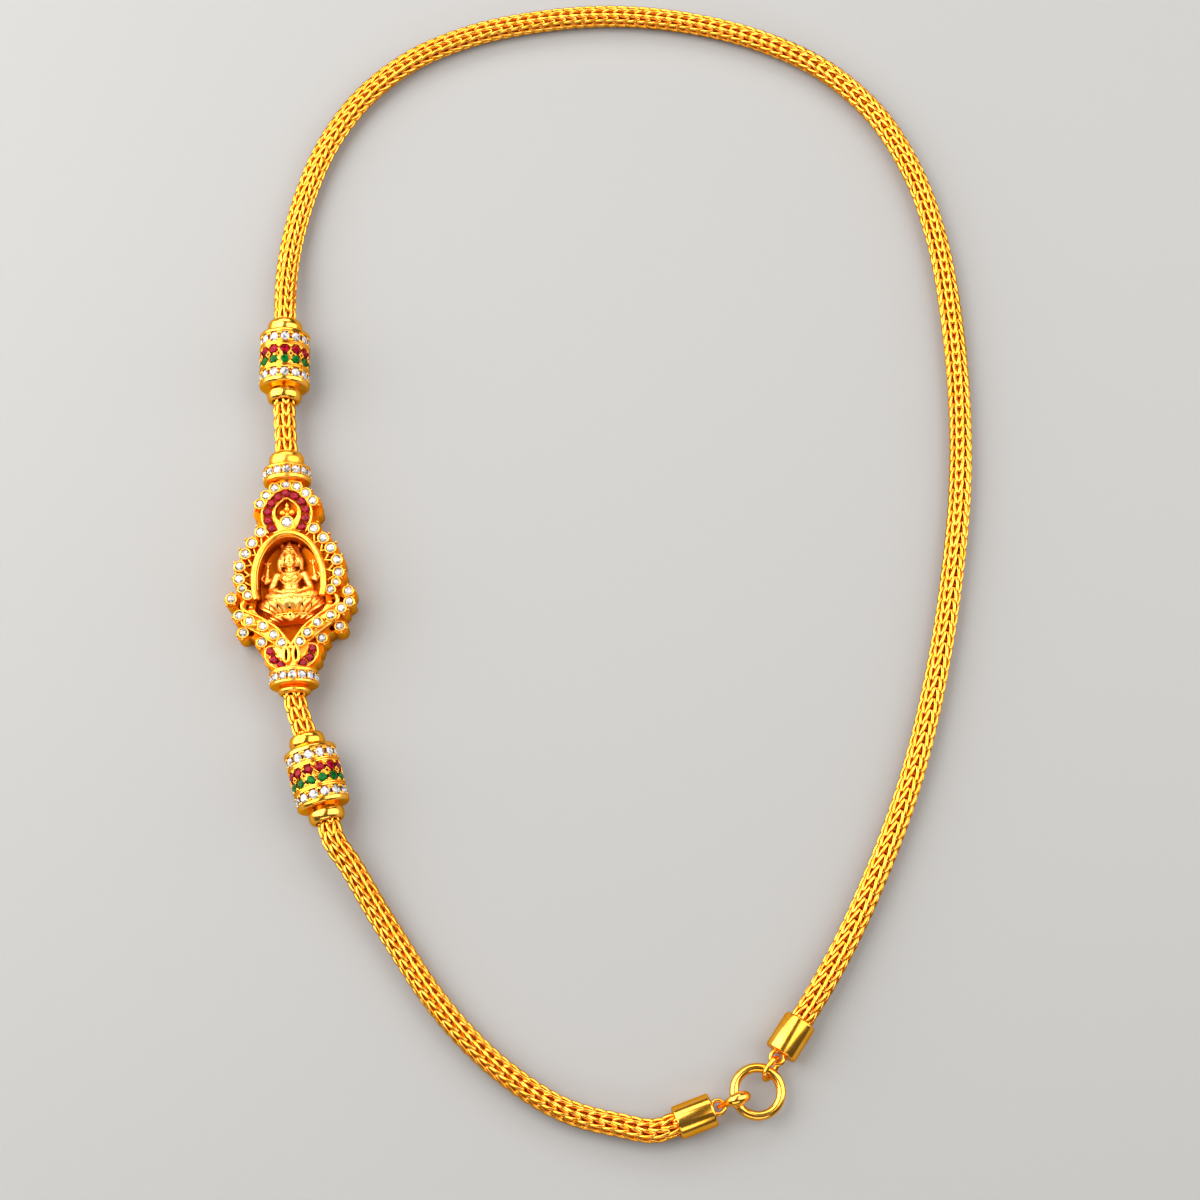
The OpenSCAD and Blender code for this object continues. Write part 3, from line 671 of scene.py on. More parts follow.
CENTRE_SPOT = (0, 11.2)
CROWN_ROW = [(0, 19.1), (2.2, 18.5), (3.9, 17), (5.2, 15.3)]
RUBY_ROW = [(0, 17.3), (1.6, 16.55), (2.9, 15.3), (3.75, 13.65), (3.65, 11.8), (2.95, 10.1)]
FRAME_ROW = [
    (5.2, 9.5, 1.6), (7, 7.35, 1.6), (8.35, 5.2, 1.6), (9.5, 2.7, 1.6), (9.7, 0.1, 1.6),
    (9.15, -1.9, 1.2), (8.05, -3.3, 1.4),
]
BAND_ROW = [  # across, along, height of cup, 1 where only the right side has it
    (11.4, -3.7, 7.4, 0), (11.5, -5.85, 7.2, 1), (9.9, -7.2, 7.6, 0), (7.9, -8.6, 8, 0), (5.3, -9.85, 8.1, 0),
    (3.25, -11.75, 8.1, 0), (1.75, -13.45, 8.1, 0), (9.4, -10.4, 6.3, 0), (5.8, -12.6, 6.4, 0),
]
BAND_CUPS = [(s * u, v, top) for s in (1, -1) for u, v, top, side in BAND_ROW if s > 0 or not side]
BASE_ROW = [(4.15, -14.85), (3.5, -16.6), (2.1, -17.65)]


def both(rows):
    return [(s * row[0], *row[1:]) for row in rows for s in (1, -1) if row[0] > 0 or s > 0]


def flat_places(rows, top, d=None):
    """Places of stones set flat: rows of across, along and maybe diameter"""
    return [lie(PENDANT) @ move(row[0], row[1], top - PROUD) @ rot(22.5, "Z") @ Matrix.Scale(d or row[2], 4)
            for row in rows]


def pendant_stones(stone):
    ends = (("upper", UPPER_COLLAR_V, COLLAR_TURNS[0]), ("lower", LOWER_COLLAR_V, COLLAR_TURNS[1]))
    for word, v, shift in ends:
        places = ring_places(PENDANT, COLLAR_D / 2 - 0.15, v, COLLAR_COUNT, shift, PENDANT_WHITE_D)
        stones(word + "_collar_whites_cut", stone, places, CLEAR, "white_stone", word + "_collar_whites")
    stones("crown_whites_cut", stone, flat_places(both(CROWN_ROW), CUP_TOP, SMALL_WHITE_D), CLEAR,
           "white_stone", "crown_whites")
    stones("crown_rubies_cut", stone, flat_places(both(RUBY_ROW), CROWN_TOP, RUBY_D), RUBY,
           "ruby", "crown_rubies")
    stones("crown_centre_cut", stone, flat_places([CENTRE_SPOT], CROWN_TOP, CENTRE_D), CLEAR,
           "white_stone", "crown_centre_stone")
    for word, s in (("right", 1), ("left", -1)):
        places = flat_places([(s * u, v, d) for u, v, d in FRAME_ROW], CUP_TOP)
        stones(word + "_frame_whites_cut", stone, places, CLEAR, "white_stone", word + "_frame_whites")
    band = [place for u, v, top in BAND_CUPS for place in flat_places([(u, v)], top, SMALL_WHITE_D)]
    stones("band_whites_cut", stone, band, CLEAR, "white_stone", "band_whites")
    stones("base_rubies_cut", stone, flat_places(both(BASE_ROW), BASE_TOP, RUBY_D), RUBY,
           "ruby", "base_rubies")


def mirrored(points):
    return [(-point[0], *point[1:]) for point in points]


def on_oval(half, mid, degrees):
    turn = math.radians(degrees)
    return half[0] * math.sin(turn), mid + half[1] * math.cos(turn)


NICHE_IN = (6.25, 9.1)
NICHE_MID = -0.8
WALL_TOP = 5.8
# Heights of the oval frame and of the cups in the part's source, and how near a corner counts as one
FRAME_H = 8.6
CUP_HEIGHTS = (6.3, 6.4, 7.2, 7.6, 7.9, 8, 8.1)
NEAR = 0.02


def pendant_casting():
    """The cast body: the part's own shape, with its edges softened and its recesses painted darker as shade
    """
    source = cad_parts["pendant_body"]
    obj = source.copy()
    obj.data = source.data.copy()
    obj.parent = None
    for key in list(obj.keys()):
        del obj[key]
    bpy.context.scene.collection.objects.link(obj)
    obj.data.transform(lie(PENDANT).inverted())
    obj.data.materials.clear()
    for mat in (CAST, RECESS_SHADE, HOLE_SHADE):
        obj.data.materials.append(mat)
    edit(obj, weld, lambda: bpy.ops.mesh.dissolve_limited(angle_limit=math.radians(1)))
    # The tops of cups and frame go under their rounded rims
    for corner in obj.data.vertices:
        height = corner.co.z
        if abs(height - FRAME_H) < NEAR:
            corner.co.z = FRAME_H - 0.5
        elif any(abs(height - top) < NEAR for top in CUP_HEIGHTS):
            corner.co.z = height - 0.3
    soften(obj, 0.09, 2, 40)
    smooth(obj, 40)
    # Faces in the niche, in the crown's hollow and low up-facing faces are painted darker as shade
    for face in obj.data.polygons:
        u, v, z = face.center
        in_niche = (u / NICHE_IN[0]) ** 2 + ((v - NICHE_MID) / NICHE_IN[1]) ** 2 < 1.02
        in_niche = in_niche or abs(u) < 7 and -13.5 < v < -3
        in_crown = math.hypot(u / 2.25, (v - 13.5) / 2.55) < 1.02
        low = face.normal.z > 0.3 and 1.6 < z < WALL_TOP + 0.1
        face.material_index = 1 if (in_niche and z < 7) or (in_crown and z < 7.4) or low else 0
    return obj


def bezel(d):
    """A rounded collar round a stone; its cup's top is at 0"""
    inner, outer = d / 2 + 0.05, d / 2 + 0.42
    rim = arc(((inner + outer) / 2, -0.12), ((outer - inner) / 2, 0.2), 180, 0, 8)
    return turned_part(rim + [(outer, -1.3), (inner + 0.1, -1.3)], 28, angle=60)


def bezels():
    made = []
    cups = [(u, v, CUP_TOP, SMALL_WHITE_D) for u, v in both(CROWN_ROW)]
    cups += [(u, v, CUP_TOP, d) for u, v, d in both(FRAME_ROW)]
    cups += [(*cup, SMALL_WHITE_D) for cup in BAND_CUPS]
    cups.append((*CENTRE_SPOT, CROWN_TOP, CENTRE_D))
    for d in sorted({cup[3] for cup in cups}):
        model = bezel(d)
        made += copies(model, [move(u, v, top) for u, v, top, size in cups if size == d])
        drop(model)
    return made


# Claws on the outer side of the cups: across, along, height of their tip, 1 for the right side only
CLAWS = [
    (0.75, 20.1, 7.7, 0), (2.9, 19.4, 7.6, 0), (4.9, 17.7, 7.6, 0), (6.35, 15.7, 7.6, 0),
    (6.2, 14.5, 7.3, 0), (4.3, 10.6, 7.6, 0), (5.95, 10.85, 7.7, 0), (8.2, 8.3, 7.7, 0),
    (6.85, 8.7, 7.6, 0), (9.45, 6.4, 7.7, 0), (10.5, 3.7, 7.7, 0), (9.1, 4.0, 7.7, 0),
    (10.95, 0.5, 7.7, 0), (10.2, -1.05, 7.6, 0), (10.3, 1.4, 7.7, 0), (11.3, -2.35, 7.2, 0),
    (12.55, -3.65, 7.1, 0), (12.3, -4.75, 7.0, 0), (12.55, -6.2, 7.0, 1), (10.75, -4.75, 7.3, 0),
    (11.2, -7.5, 7.3, 0), (10.3, -8.45, 7.3, 0), (8.9, -7.95, 7.8, 0), (10.65, -10.8, 6.1, 0),
    (9.6, -11.7, 6.1, 0), (8.6, -9.4, 6.3, 0), (6.6, -9.15, 7.9, 0), (6.9, -12.2, 6.2, 0),
    (6.2, -13.8, 6.1, 0), (4.15, -10.7, 7.9, 0), (4.6, -12.3, 6.4, 0), (2.5, -12.55, 7.9, 0),
]
# Gold balls on the V band: place and radius
BAND_BALLS = [((-6.88, -9.56, 8.05), 0.5), ((4.33, -10.61, 8.0), 0.42)]
# Crescent and inner edge of the V band, down the right half: across, along, height, half thickness
BAND_RIM = [
    (8.5, -3.95, 7.2, 0.2), (9.1, -4.6, 7.35, 0.36), (9.3, -5.4, 7.4, 0.42), (8.95, -6.2, 7.5, 0.36),
    (8.0, -6.85, 7.6, 0.3), (6.2, -7.75, 7.6, 0.28), (4.8, -8.7, 7.6, 0.27), (3.6, -9.55, 7.6, 0.27),
    (2.5, -10.5, 7.6, 0.28), (1.55, -11.75, 7.65, 0.3), (0.7, -13.0, 7.7, 0.33), (0, -13.95, 7.75, 0.36),
]
# Outer edge of the V band, and edge of the base: across, along, height
BAND_OUT = [
    (9.1, -6.6, 7.2), (9.35, -8.8, 7.3), (7.9, -9.95, 7.25), (6.3, -11, 7.3), (4.6, -12.3, 7.3),
    (3.1, -13.45, 7.35), (1.6, -14.3, 7.3),
]
BASE_EDGE = [
    (1.3, -14.4, 7.5), (3.1, -13.95, 7.45), (4.75, -14.2, 7.4), (5.1, -15.1, 7.4), (4.65, -16.9, 7.4),
    (3.1, -18.35, 7.4), (1.5, -18.7, 7.4),
]
# The oval frame's rounded rim: half sizes and height
RIM_HALF = (6.82, 9.62)
RIM_H = 8.16


def beside_row(row, offset, top, size, bead):
    """Bead prongs on both sides of a row of stones, between each two"""
    line = [Vector(point) for point in row]
    made = []
    for a, b in zip(line, line[1:]):
        way = (b - a).normalized()
        across = Vector((-way.y, way.x))
        mid = (a + b) / 2
        for side in (-1, 1):
            for along in (-1, 1):
                spot = mid + across * side * offset + way * along * 0.17
                made.append(move(spot.x, spot.y, top) @ Matrix.Diagonal((size, size, size * 1.4, 1)))
    return copies(bead, made)


def offset_line(row, offset, top):
    """A line beside a row of stones"""
    line = [Vector(point) for point in row]
    made = []
    for i, point in enumerate(line):
        way = (line[min(i + 1, len(line) - 1)] - line[max(i - 1, 0)]).normalized()
        made.append((point.x - way.y * offset, point.y + way.x * offset, top))
    return made


def opening(at, half, sides=16):
    """A near-black lens painted as the shade in a small pierced opening"""
    one = placed(ball(1, sides, 8, half), move(*at))
    one.data.materials.clear()
    one.data.materials.append(HOLE_SHADE)
    return one


def side_trim(s):
    """Leaf loop, base edge, low ball and struts of the right side, or of the left where s is -1"""
    loop = [(u, v, 8.12) for u, v in arc((s * 0.93, -16), (0.58, 1.5), 0, 330, 11)]
    made = [
        wire(loop, 0.34, True, 4),
        opening((s * 0.93, -16, 7.66), (0.34, 1.25, 0.2)),
        placed(ball(0.5, 12, 8, (0.7, 1.3, 0.7)), move(s * 0.28, -14.5, 7.95) @ rot(s * 25, "Z")),
        wire([(s * u, v, height) for u, v, height in BASE_EDGE], 0.22),
        placed(ball(0.5, 12, 8), move(s * 7.75, -5.45, 6.3)),
        wire([(s * 7.75, -5.45, 6.1), (s * 8.1, -6.2, 5.6), (s * 8.6, -6.6, 5.4)], 0.3),
    ]
    for u, v, _ in FRAME_ROW[:5]:
        inward = Vector((0 - u, NICHE_MID - v)).normalized()
        for turn in (-26, 26):
            step = inward.copy()
            step.rotate(Matrix.Rotation(math.radians(turn), 2))
            end = Vector((u, v)) + step * 2.6
            near = (s * (u + step.x * 0.9), v + step.y * 0.9, 7.35)
            made.append(wire([near, (s * end.x, end.y, 7.25)], 0.22))
    for u, v in ((10.75, -4.85), (10.4, -2.8)):
        made.append(wire([(s * 11.4, -3.7, 6.6), (s * u, v, 6.9)], 0.4))
    return made


def pendant_trim(bead):
    """Rims, edges, loops, claws and bead prongs of the pendant"""
    made = bezels()
    oval = [(*on_oval(RIM_HALF, NICHE_MID, degrees), RIM_H) for degrees in range(-112, 113, 7)]
    flatter = move(0, 0, RIM_H) @ Matrix.Diagonal((1, 1, 0.95, 1)) @ move(0, 0, -RIM_H)
    made.append(placed(wire(oval, 0.6, sides=5), flatter))
    groove = [(*on_oval((6.28, 9.1), NICHE_MID, degrees), 7.75) for degrees in range(-100, 101, 10)]
    made.append(wire(groove, 0.2))
    for side in (BAND_RIM, mirrored(BAND_RIM)):
        made.append(tube([Vector(row[:3]) for row in side], [row[3] for row in side], False, 4))
    for side in (BAND_OUT, mirrored(BAND_OUT)):
        made.append(wire(side, 0.24))
    made += side_trim(1) + side_trim(-1)
    line = mirrored(RUBY_ROW[::-1]) + RUBY_ROW[1:]
    made += beside_row(line, 0.93, 7.86, 0.17, bead)
    for offset in (-1.12, 1.12):
        made.append(wire(offset_line(line, offset, 7.68), 0.18))
    for row in (BASE_ROW, mirrored(BASE_ROW)):
        made += beside_row([(row[0][0] * 1.06, row[0][1] + 1.6), *row], 0.93, 7.55, 0.18, bead)
    made += copies(bead, [move(s * u, v, top - 0.42) @ Matrix.Diagonal((0.32, 0.32, 0.62, 1))
                          for u, v, top, only_right in CLAWS for s in (1, -1) if s > 0 or not only_right])
    made += copies(bead, [move(*at) @ Matrix.Scale(radius, 4) for at, radius in BAND_BALLS])
    # Trefoil and drop
    for u, v, r in ((-0.95, 13.4, 0.62), (0.95, 13.4, 0.62), (0, 14.15, 0.6), (0, 13.1, 0.42)):
        made.append(placed(ball(r, 14, 10, (1, 1, 0.85)), move(u, v, 6.95)))
    drop_shape = ball(0.42, 12, 9, (1, 1.7, 0.9))
    for corner in drop_shape.data.vertices:
        corner.co.x *= 1 - max(corner.co.y, 0) * 0.9
    made.append(placed(drop_shape, move(0, 15.05, 6.9)))
    for u, v in ((-1.6, 7.7), (1.75, 7.5)):
        made.append(placed(ball(0.5, 12, 8, (0.9, 1.2, 1)), move(u, v, 3.6) @ rot(-15, "Z")))
    return made


def collar_shell(way, v, dome_end, radius, shift, bead):
    """Rounded collar with its channel for stones, and the domed cap at the chain's side"""
    groove = PENDANT_WHITE_D / 2 + 0.1
    rim_r = COLLAR_D / 2 + 0.03
    inner = rim_r - 1.02
    high, low, end = abs(v) + groove, abs(v) - groove, abs(dome_end)
    foot = high + 0.75
    side = [(BORE_R, end - 2.6), (BORE_R, end)]
    side += dome_outline(foot - 0.05, end, radius + 0.03)
    side += [(3.05, foot - 0.1), (rim_r - 0.85, foot - 0.12)]
    side += arc((rim_r - 0.42, high + 0.3), (0.42, 0.3), 80, 0, 5)
    side += [(rim_r, high + 0.08), (rim_r - 0.1, high), (inner, high)]
    side += [(inner, low), (rim_r - 0.1, low), (rim_r, low - 0.1)]
    side += arc((rim_r - 0.5, low - 0.45), (0.5, 0.45), 0, -80, 6)
    side += [(3.0, low - 0.95), (3.0, low - 1.3), (BORE_R, low - 1.3)]
    shell = turned_part(side, 96, angle=38)
    if way < 0:
        shell.data.transform(rot(180, "X"))
    places = []
    for i in range(COLLAR_COUNT):
        for side_way in (-1, 1):
            for edge in (-1, 1):
                turn = 90 + 360 / COLLAR_COUNT * (i + shift + side_way * 0.34)
                places.append(rot(turn, "Z") @ move(rim_r - 0.08, 0, v + edge * 0.66)
                              @ Matrix.Diagonal((0.16, 0.22, 0.22, 1)))
    shell = joined([shell] + copies(bead, places))
    shell.data.transform(move(0, 0, AXIS_H) @ TURN)
    return shell


def pendant(bead):
    body = pendant_casting()
    trim = pendant_trim(bead)
    trim.append(collar_shell(1, UPPER_COLLAR_V, UPPER_DOME_END, 3.45, COLLAR_TURNS[0], bead))
    trim.append(collar_shell(-1, LOWER_COLLAR_V, LOWER_DOME_END, 3.1, COLLAR_TURNS[1], bead))
    for obj in trim:
        if not obj.data.materials:
            obj.data.materials.append(CAST)
    whole = joined([body] + trim)
    settle(whole, "pendant_casting", lie(PENDANT), (), "gold", "pendant_body")


# ---- goddess and lotus


def limb(a, ra, b, rb, sides=12):
    """A rounded limb from a to b"""
    a, b = Vector(a), Vector(b)
    steps = max(3, int((b - a).length / (min(ra, rb) * 0.5)) + 2)
    made = []
    for i in range(steps):
        t = i / (steps - 1)
        made.append(placed(ball(ra + (rb - ra) * t, sides, 8), Matrix.Translation(a.lerp(b, t))))
    return made


def blob(at, half, turn=0, sides=20, rings=14):
    return placed(ball(1, sides, rings, half), move(*at) @ rot(turn, "Z"))


def fused(parts, voxel, rounds, strength=0.5):
    """Parts melted into one skin and smoothed"""
    obj = joined(parts)
    melt = only(obj).modifiers.new("melt", "REMESH")
    melt.mode = "VOXEL"
    melt.voxel_size = voxel
    melt.use_smooth_shade = True
    relax = obj.modifiers.new("relax", "SMOOTH")
    relax.factor = strength
    relax.iterations = rounds
    return apply_all(obj)


def bead_line(points, size, bead, gap=None):
    """Beads strung along a line of points"""
    line = [Vector(point) for point in points]
    lengths = [(b - a).length for a, b in zip(line, line[1:])]
    total = sum(lengths)
    count = max(2, round(total / (gap or size * 2)))
    made = []
    for i in range(count + 1):
        left = total * i / count
        for a, b, length in zip(line, line[1:], lengths):
            if left <= length + 1e-6:
                spot = a.lerp(b, left / length)
                break
            left -= length
        made.append(Matrix.Translation(spot) @ Matrix.Scale(size, 4))
    return copies(bead, made)


# Height of the niche's floor
FLOOR_Z = 2.7
# The crown's tiers: along, half width, half depth, half height
TIERS = [
    (5.3, 1.75, 1.35, 0.42), (5.85, 1.5, 1.2, 0.4), (6.35, 1.22, 1.0, 0.36), (6.8, 0.92, 0.8, 0.33),
    (7.2, 0.64, 0.6, 0.3), (7.55, 0.4, 0.42, 0.26),
]
# Beads over the brow, at the throat, on the chest and at the waist, each with its bead's radius
BEAD_ROWS = [
    ([(-0.95, 2.1, 5.3), (-0.6, 1.7, 5.75), (0, 1.5, 5.95), (0.6, 1.7, 5.75), (0.95, 2.1, 5.3)], 0.13),
    ([(-1.7, 1.9, 4.9), (-1.1, 0.95, 6.0), (-0.5, 0.45, 6.25), (0, 0.25, 6.2), (0.5, 0.45, 6.25),
      (1.1, 0.95, 6.0), (1.7, 1.9, 4.9)], 0.15),
    ([(-1.6, -1.95, 5.4), (-0.8, -2.1, 5.9), (0, -2.15, 6.0), (0.8, -2.1, 5.9), (1.6, -1.95, 5.4)], 0.14),
]
BROW_ROW = [
    (-1.5, 4.3, 6.1), (-1.45, 4.9, 6.3), (-1.1, 5.3, 6.5), (-0.55, 5.52, 6.62), (0, 5.6, 6.66),
    (0.55, 5.52, 6.62), (1.1, 5.3, 6.5), (1.45, 4.9, 6.3), (1.5, 4.3, 6.1),
]


def goddess(bead):
    """Seated four-armed figure with a calm, plain face, tall crown, necklaces and lotus buds"""
    parts = []
    # Torso, hips and shawl of hair behind
    parts += [blob((0, 1.0, 4.45), (2.5, 1.1, 1.35)), blob((0, 0.1, 4.7), (1.95, 1.3, 1.45)),
              blob((0, -1.3, 4.6), (1.65, 1.5, 1.3)), blob((0, -2.6, 4.6), (2.3, 1.0, 1.5))]
    parts += limb((0, 2.5, 5.1), 0.72, (0, 1.7, 4.9), 0.8)
    parts.append(blob((0, 4.7, 4.3), (2.45, 2.1, 1.0)))
    for s in (1, -1):
        parts += [blob((s * 0.85, 0.35, 5.55), (0.8, 0.75, 0.6))]
        parts += limb((s * 2.1, 4.4, 4.3), 0.62, (s * 2.15, 2.4, 4.2), 0.42)
        # Front arms, with bangles and hands
        parts += limb((s * 2.75, 1.1, 4.5), 0.82, (s * 3.95, -1.7, 4.9), 0.6)
        parts += limb((s * 3.95, -1.7, 4.9), 0.58, (s * 2.3, -2.5, 6.0), 0.42)
        # Raised arms
        parts += limb((s * 3.2, 0.9, 3.9), 0.6, (s * 5.0, 0.1, 4.0), 0.5)
        parts += limb((s * 5.0, 0.1, 4.0), 0.5, (s * 4.65, 1.9, 4.2), 0.4)
        parts += limb((s * 4.65, 1.9, 4.2), 0.34, (s * 4.5, 2.9, 4.3), 0.3)
        # Folded legs
        parts += limb((s * 4.6, -3.0, 4.3), 0.85, (s * 1.6, -2.9, 4.9), 0.95)
        parts += limb((s * 4.4, -3.2, 4.5), 0.72, (s * 0.4, -3.35, 5.9), 0.62)
    parts += limb((-4.2, -3.35, 3.4), 0.6, (4.2, -3.35, 3.4), 0.6)
    body = fused(parts, 0.13, 6)

    head = [blob((0, 4.05, 5.55), (1.22, 1.68, 1.3)), blob((0, 2.75, 6.1), (0.62, 0.48, 0.5)),
            blob((0, 2.55, 6.35), (0.34, 0.26, 0.3))]
    for s in (1, -1):
        head.append(blob((s * 0.55, 3.35, 6.2), (0.5, 0.55, 0.45)))
    head += limb((0, 4.15, 6.78), 0.13, (0, 3.38, 7.05), 0.19)
    head.append(blob((0, 3.3, 6.95), (0.3, 0.13, 0.15)))
    head.append(blob((0, 2.95, 6.72), (0.34, 0.09, 0.16)))
    head.append(blob((0, 2.81, 6.68), (0.26, 0.09, 0.16)))
    for s in (1, -1):
        head.append(blob((s * 0.5, 4.03, 6.62), (0.32, 0.16, 0.2)))
        head += limb((s * 0.2, 4.42, 6.74), 0.08, (s * 0.85, 4.38, 6.5), 0.07, 8)
        head.append(blob((s * 1.2, 3.7, 5.7), (0.2, 0.42, 0.3)))
    face = fused(head, 0.06, 3, 0.4)

    crown = [blob((0, v, 5.15), (wide, high, deep)) for v, wide, deep, high in TIERS]
    crown += limb((0, 7.5, 5.1), 0.26, (0, 8.0, 5.1), 0.14)
    crown.append(blob((0, 6.0, 4.2), (1.9, 1.9, 0.6)))
    headdress = fused(crown, 0.09, 2, 0.4)

    trims = [body, face, headdress]
    trims += bead_line(BROW_ROW, 0.15, bead)
    trims.append(blob((0, 5.95, 6.4), (0.3, 0.42, 0.25), 0, 12, 8))
    for s in (1, -1):
        trims.append(blob((s * 0.85, 5.75, 6.15), (0.2, 0.32, 0.2), -s * 25, 10, 7))
        # Earrings and the veil's edge
        trims += copies(bead, [move(s * 1.45, 3.15, 5.9) @ Matrix.Scale(0.3, 4),
                               move(s * 1.45, 2.7, 5.85) @ Matrix.Scale(0.2, 4)])
        veil = [(s * 1.75, 4.9, 5.2), (s * 2.4, 4.2, 4.95), (s * 2.5, 3.3, 4.8), (s * 2.2, 2.4, 4.7)]
        trims += bead_line(veil, 0.16, bead, 0.4)
        # Bangles and armlets
        for at, r, way in (((s * 3.4, -0.35, 4.7), 0.78, (s * 1.2, -2.8, 0.4)),
                           ((s * 2.75, -2.3, 5.75), 0.5, (-s * 1.65, -0.8, 1.1)),
                           ((s * 4.75, 1.3, 4.15), 0.48, (-s * 0.35, 1.8, 0.2))):
            turn = Vector(way).to_track_quat("Z", "Y").to_matrix().to_4x4()
            trims.append(placed(torus(r, 0.11, 24, 8), Matrix.Translation(at) @ turn))
        # Hands: palm and four fingers
        trims.append(blob((s * 1.9, -2.65, 6.25), (0.5, 0.36, 0.3), s * 20, 12, 8))
        for i in range(4):
            trims += limb((s * 1.6, -2.4 - i * 0.16, 6.35), 0.1, (s * 0.95, -2.45 - i * 0.2, 6.45), 0.08, 6)
        # Lotus bud held up
        trims.append(blob((s * 4.5, 3.35, 4.45), (0.34, 0.5, 0.32), 0, 12, 8))
        for turn in (-50, 0, 50):
            bud = blob((0, 0.48, 0), (0.2, 0.46, 0.2), 0, 10, 7)
            trims.append(placed(bud, move(s * 4.45, 3.5, 4.55) @ rot(turn, "Z")))
        trims.append(wire([(s * 5.35, 0.3, 4.5), (s * 5.75, 0.9, 4.4), (s * 5.3, 1.5, 4.4)], 0.24))
        # Folds of the skirt
        for i in range(3):
            off = i * 0.7
            fold = [(s * (4.7 - off), -2.35 - i * 0.05, 4.9), (s * (4.4 - off), -3.0, 5.35 + i * 0.1),
                    (s * (3.7 - off), -3.75, 5.2 + i * 0.15)]
            trims.append(wire(fold, 0.1))
        # Cross bands of the bodice
        trims.append(wire([(s * 2.0, 0.9, 5.6), (s * 1.2, -0.1, 6.2), (0, -1.1, 6.15)], 0.12))
        trims.append(wire([(s * 2.1, 0.2, 5.3), (s * 1.3, -0.75, 5.95), (0, -1.6, 6.0)], 0.1))
    for row, size in BEAD_ROWS[:2]:
        trims += bead_line(row, size, bead)
    trims.append(blob((0, -0.15, 6.2), (0.28, 0.4, 0.24), 0, 12, 8))
    trims += bead_line(*BEAD_ROWS[2], bead)
    # The figure takes the gold that is painted lighter as light
    for obj in trims:
        obj.data.materials.clear()
    settle(joined(trims), "goddess_figure", lie(PENDANT), (FIGURE_PAINTED_LIGHT,), "gold", "seated_figure")


LOTUS_ROWS = [  # along the pendant, half width, height above the niche floor
    (-4, 6.3, 4.2), (-4.4, 6.5, 5.4), (-5.4, 6.2, 5.1), (-6.5, 5.4, 4.4),
    (-7.2, 4.9, 3.9), (-7.5, 5.2, 4.2), (-8.3, 4.7, 3.8), (-8.7, 3.6, 3.2),
]


def on_lotus(degrees, v, out):
    """A point over the lotus's skin: degrees round its front from the right, along, and outwards"""
    rows = LOTUS_ROWS
    v = min(max(v, rows[-1][0]), rows[0][0] - 0.001)
    for (va, wa, ha), (vb, wb, hb) in zip(rows, rows[1:]):
        if va >= v >= vb:
            t = (va - v) / (va - vb)
            wide, high = wa + (wb - wa) * t, ha + (hb - ha) * t
            break
    turn = math.radians(degrees)
    return Vector(((wide + out) * math.cos(turn), v, FLOOR_Z + (high + out) * math.sin(turn)))


def lotus_petal(degrees, width, top, bottom, thick, lean=0):
    """A pointed petal on the lotus's skin, its tip upwards"""
    one = ball(1, 16, 12)
    for corner in one.data.vertices:
        x, y, z = corner.co
        slim = 1 - 0.55 * max(y, 0) ** 2
        ridge = 1 + 0.35 * (1 - min(abs(x) * 2.2, 1))
        along_v = (top + bottom) / 2 + y * (top - bottom) / 2
        corner.co = on_lotus(degrees - x * width * slim - y * lean, along_v, z * thick * ridge)
    return one


def lotus():
    """Lotus seat: a cup with rows of petals, a foot with smaller ones, and a curled bud in front"""
    core = []
    base = ball(1, 40, 24)
    for corner in base.data.vertices:
        x, y, z = corner.co
        turn = math.degrees(math.atan2(z, x))
        r = math.hypot(x, z)
        v = -6.3 + 2.2 * y
        skin = on_lotus(max(0, min(180, turn if turn > -90 else 180)), v, -0.35)
        mid = Vector((0, v, FLOOR_Z + 0.3))
        corner.co = mid.lerp(skin, min(1, r * 1.6)) if z >= 0 else Vector((skin.x, v, FLOOR_Z + 0.02))
    core.append(base)
    # Large petals, the middle one widest
    for i in range(9):
        off = 20 * (i - 4)
        if off:
            core.append(lotus_petal(90 + off * 0.78, 8.4, -4.0, -7.2, 0.5, -off * 0.24))
    core.append(lotus_petal(90, 12.5, -3.95, -7.25, 0.62))
    # Small petals between them
    for i in range(8):
        off = 20 * (i - 3.5)
        core.append(lotus_petal(90 + off * 0.9, 6, -4.05, -5.7, 0.28, -off * 0.12))
    # Petals of the foot
    for i in range(11):
        off = 15 * (i - 5)
        if abs(off) > 10:
            core.append(lotus_petal(90 + off, 6.4, -7.3, -8.6, 0.42, -math.copysign(7, off)))
    core.append(wire([on_lotus(a, -4.12, 0.05) for a in range(4, 177, 6)], 0.22, sides=4))
    core.append(wire([on_lotus(a, -7.2, 0.02) for a in range(4, 177, 6)], 0.16, sides=4))
    # Bud in front, and painted shade in the pierced openings
    core.append(placed(ball(0.95, 20, 14, (1, 1.05, 0.7)), move(0, -7.95, 6.75)))
    loop = [(u, v, 7.38) for u, v in arc((0, -7.75), (0.42, 0.36), 0, 324, 9)]
    core.append(wire(loop, 0.2, True))
    core.append(opening((0, -7.75, 7.36), (0.32, 0.26, 0.16), 12))
    flat = rot(90, "Z") @ Matrix.Diagonal((1.2, 0.8, 1, 1))
    eye = opening((0, 0, 0), (0.46, 0.5, 0.22), 3)
    core.append(placed(eye, Matrix.Translation(on_lotus(90, -6.45, 0.74)) @ flat))
    for side in (-1, 1):
        for off in (23, 41):
            core.append(opening(on_lotus(90 + side * off, -5.75, 0.3), (0.13, 0.55, 0.2), 8))
    # The lotus takes the figure's gold, painted lighter as light
    for obj in core:
        if not obj.data.materials:
            obj.data.materials.append(FIGURE_PAINTED_LIGHT)
    settle(joined(core), "lotus_petals", lie(PENDANT), (), "gold", "lotus_seat")


# ---- stage

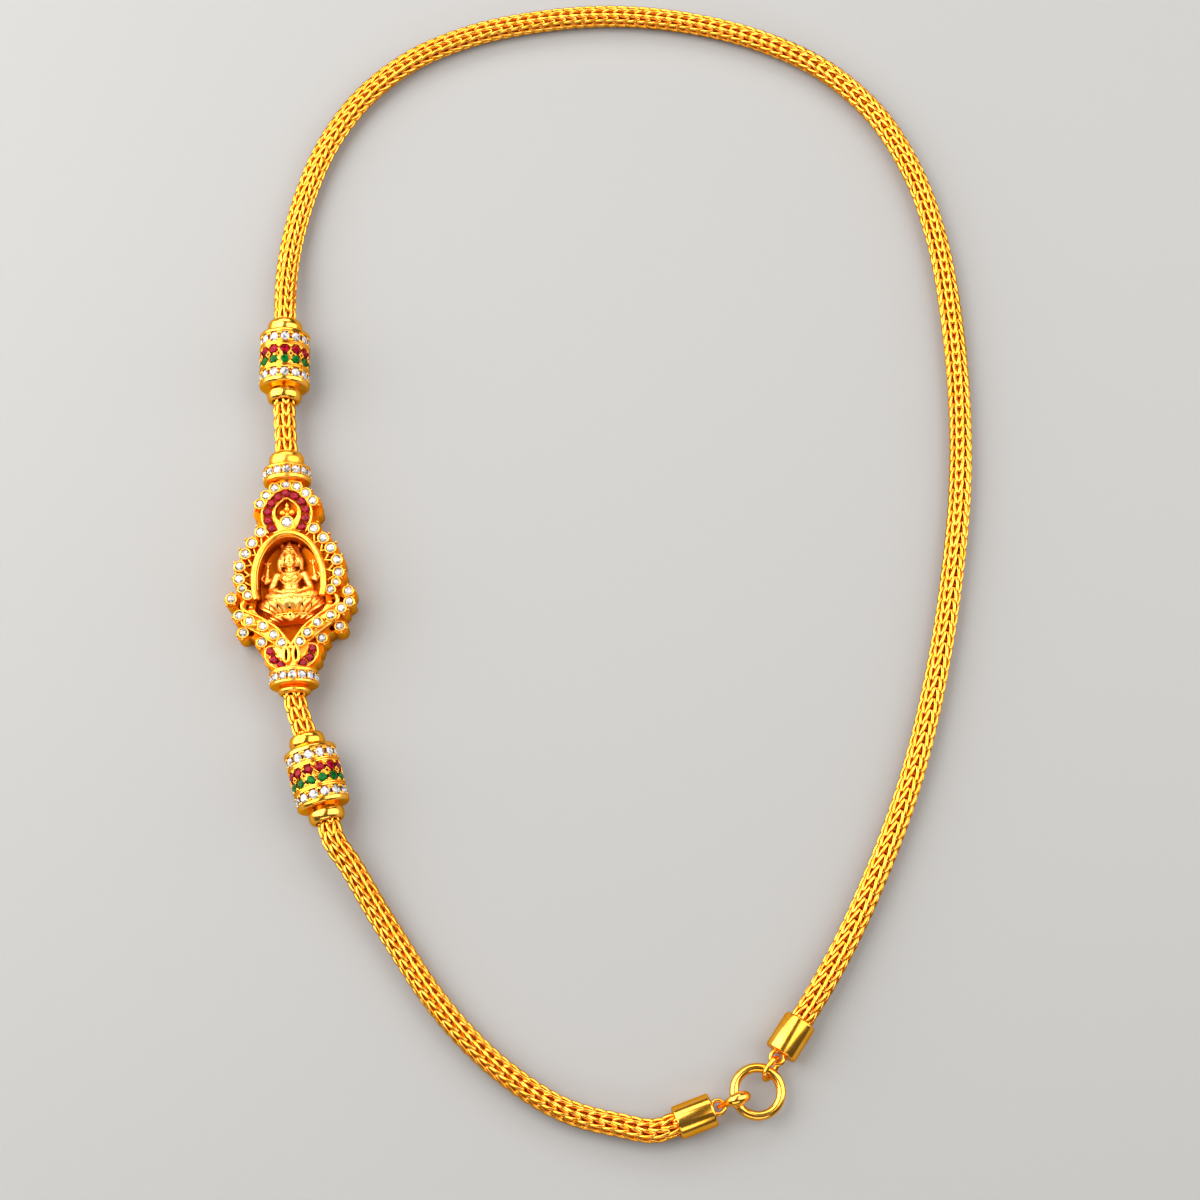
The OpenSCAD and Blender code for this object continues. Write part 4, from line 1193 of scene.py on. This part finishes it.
SOFTBOXES = [  # name, place, aim, size, watts
    ("left_softbox", (-0.46, 0.1, 0.36), (-0.05, 0, 0), (0.62, 0.9), 8.6),
    ("right_softbox", (0.46, 0.05, 0.38), (0.0, 0, 0), (0.54, 0.9), 5.2),
    ("back_softbox", (-0.05, 0.6, 0.45), (0, 0, 0), (0.8, 0.3), 3.0),
    ("front_softbox", (0, -0.7, 0.4), (0, 0, 0), (0.7, 0.25), 1.4),
]


def stage():
    bpy.ops.object.select_all(action="DESELECT")
    bpy.ops.mesh.primitive_plane_add(size=4, location=(0, 0, 0))
    floor = bpy.context.object
    floor.name = "floor"
    mat, _, shader = principled("pale_floor")
    shader.inputs["Base Color"].default_value = (0.31, 0.304, 0.295, 1)
    shader.inputs["Roughness"].default_value = 0.9
    floor.data.materials.append(mat)
    world = bpy.data.worlds.new("studio")
    bpy.context.scene.world = world
    world.use_nodes = True
    back = world.node_tree.nodes["Background"]
    back.inputs["Color"].default_value = (1.0, 0.95, 0.88, 1)
    back.inputs["Strength"].default_value = 0.1
    bpy.context.scene.view_settings.view_transform = "Standard"
    for name, at, aim, size, power in SOFTBOXES:
        light = bpy.data.lights.new(name, "AREA")
        light.shape = "RECTANGLE"
        light.size, light.size_y = size
        light.energy = power
        obj = linked(name, light)
        obj.location = at
        obj.rotation_euler = (Vector(at) - Vector(aim)).to_track_quat("Z", "Y").to_euler()


AIM = Vector((-0.98, -14.33, 0)) * MM
CAMERA_WAY = Vector((0, -121.8, 398.4)) * MM


def camera():
    data = bpy.data.cameras.new("photo_view")
    data.sensor_width = 36
    data.lens = 63.0
    data.clip_start = 0.01
    obj = linked("photo_view", data)
    obj.location = AIM + CAMERA_WAY
    obj.rotation_euler = CAMERA_WAY.to_track_quat("Z", "Y").to_euler()
    bpy.context.scene.camera = obj


camera()
stage()
ropes()
stone_model = cut_stone()
bead_model = ball(1.0, 8, 5)
barrels(stone_model, bead_model)
clasp()
pendant(bead_model)
goddess(bead_model)
lotus()
pendant_stones(stone_model)
drop(stone_model, bead_model)
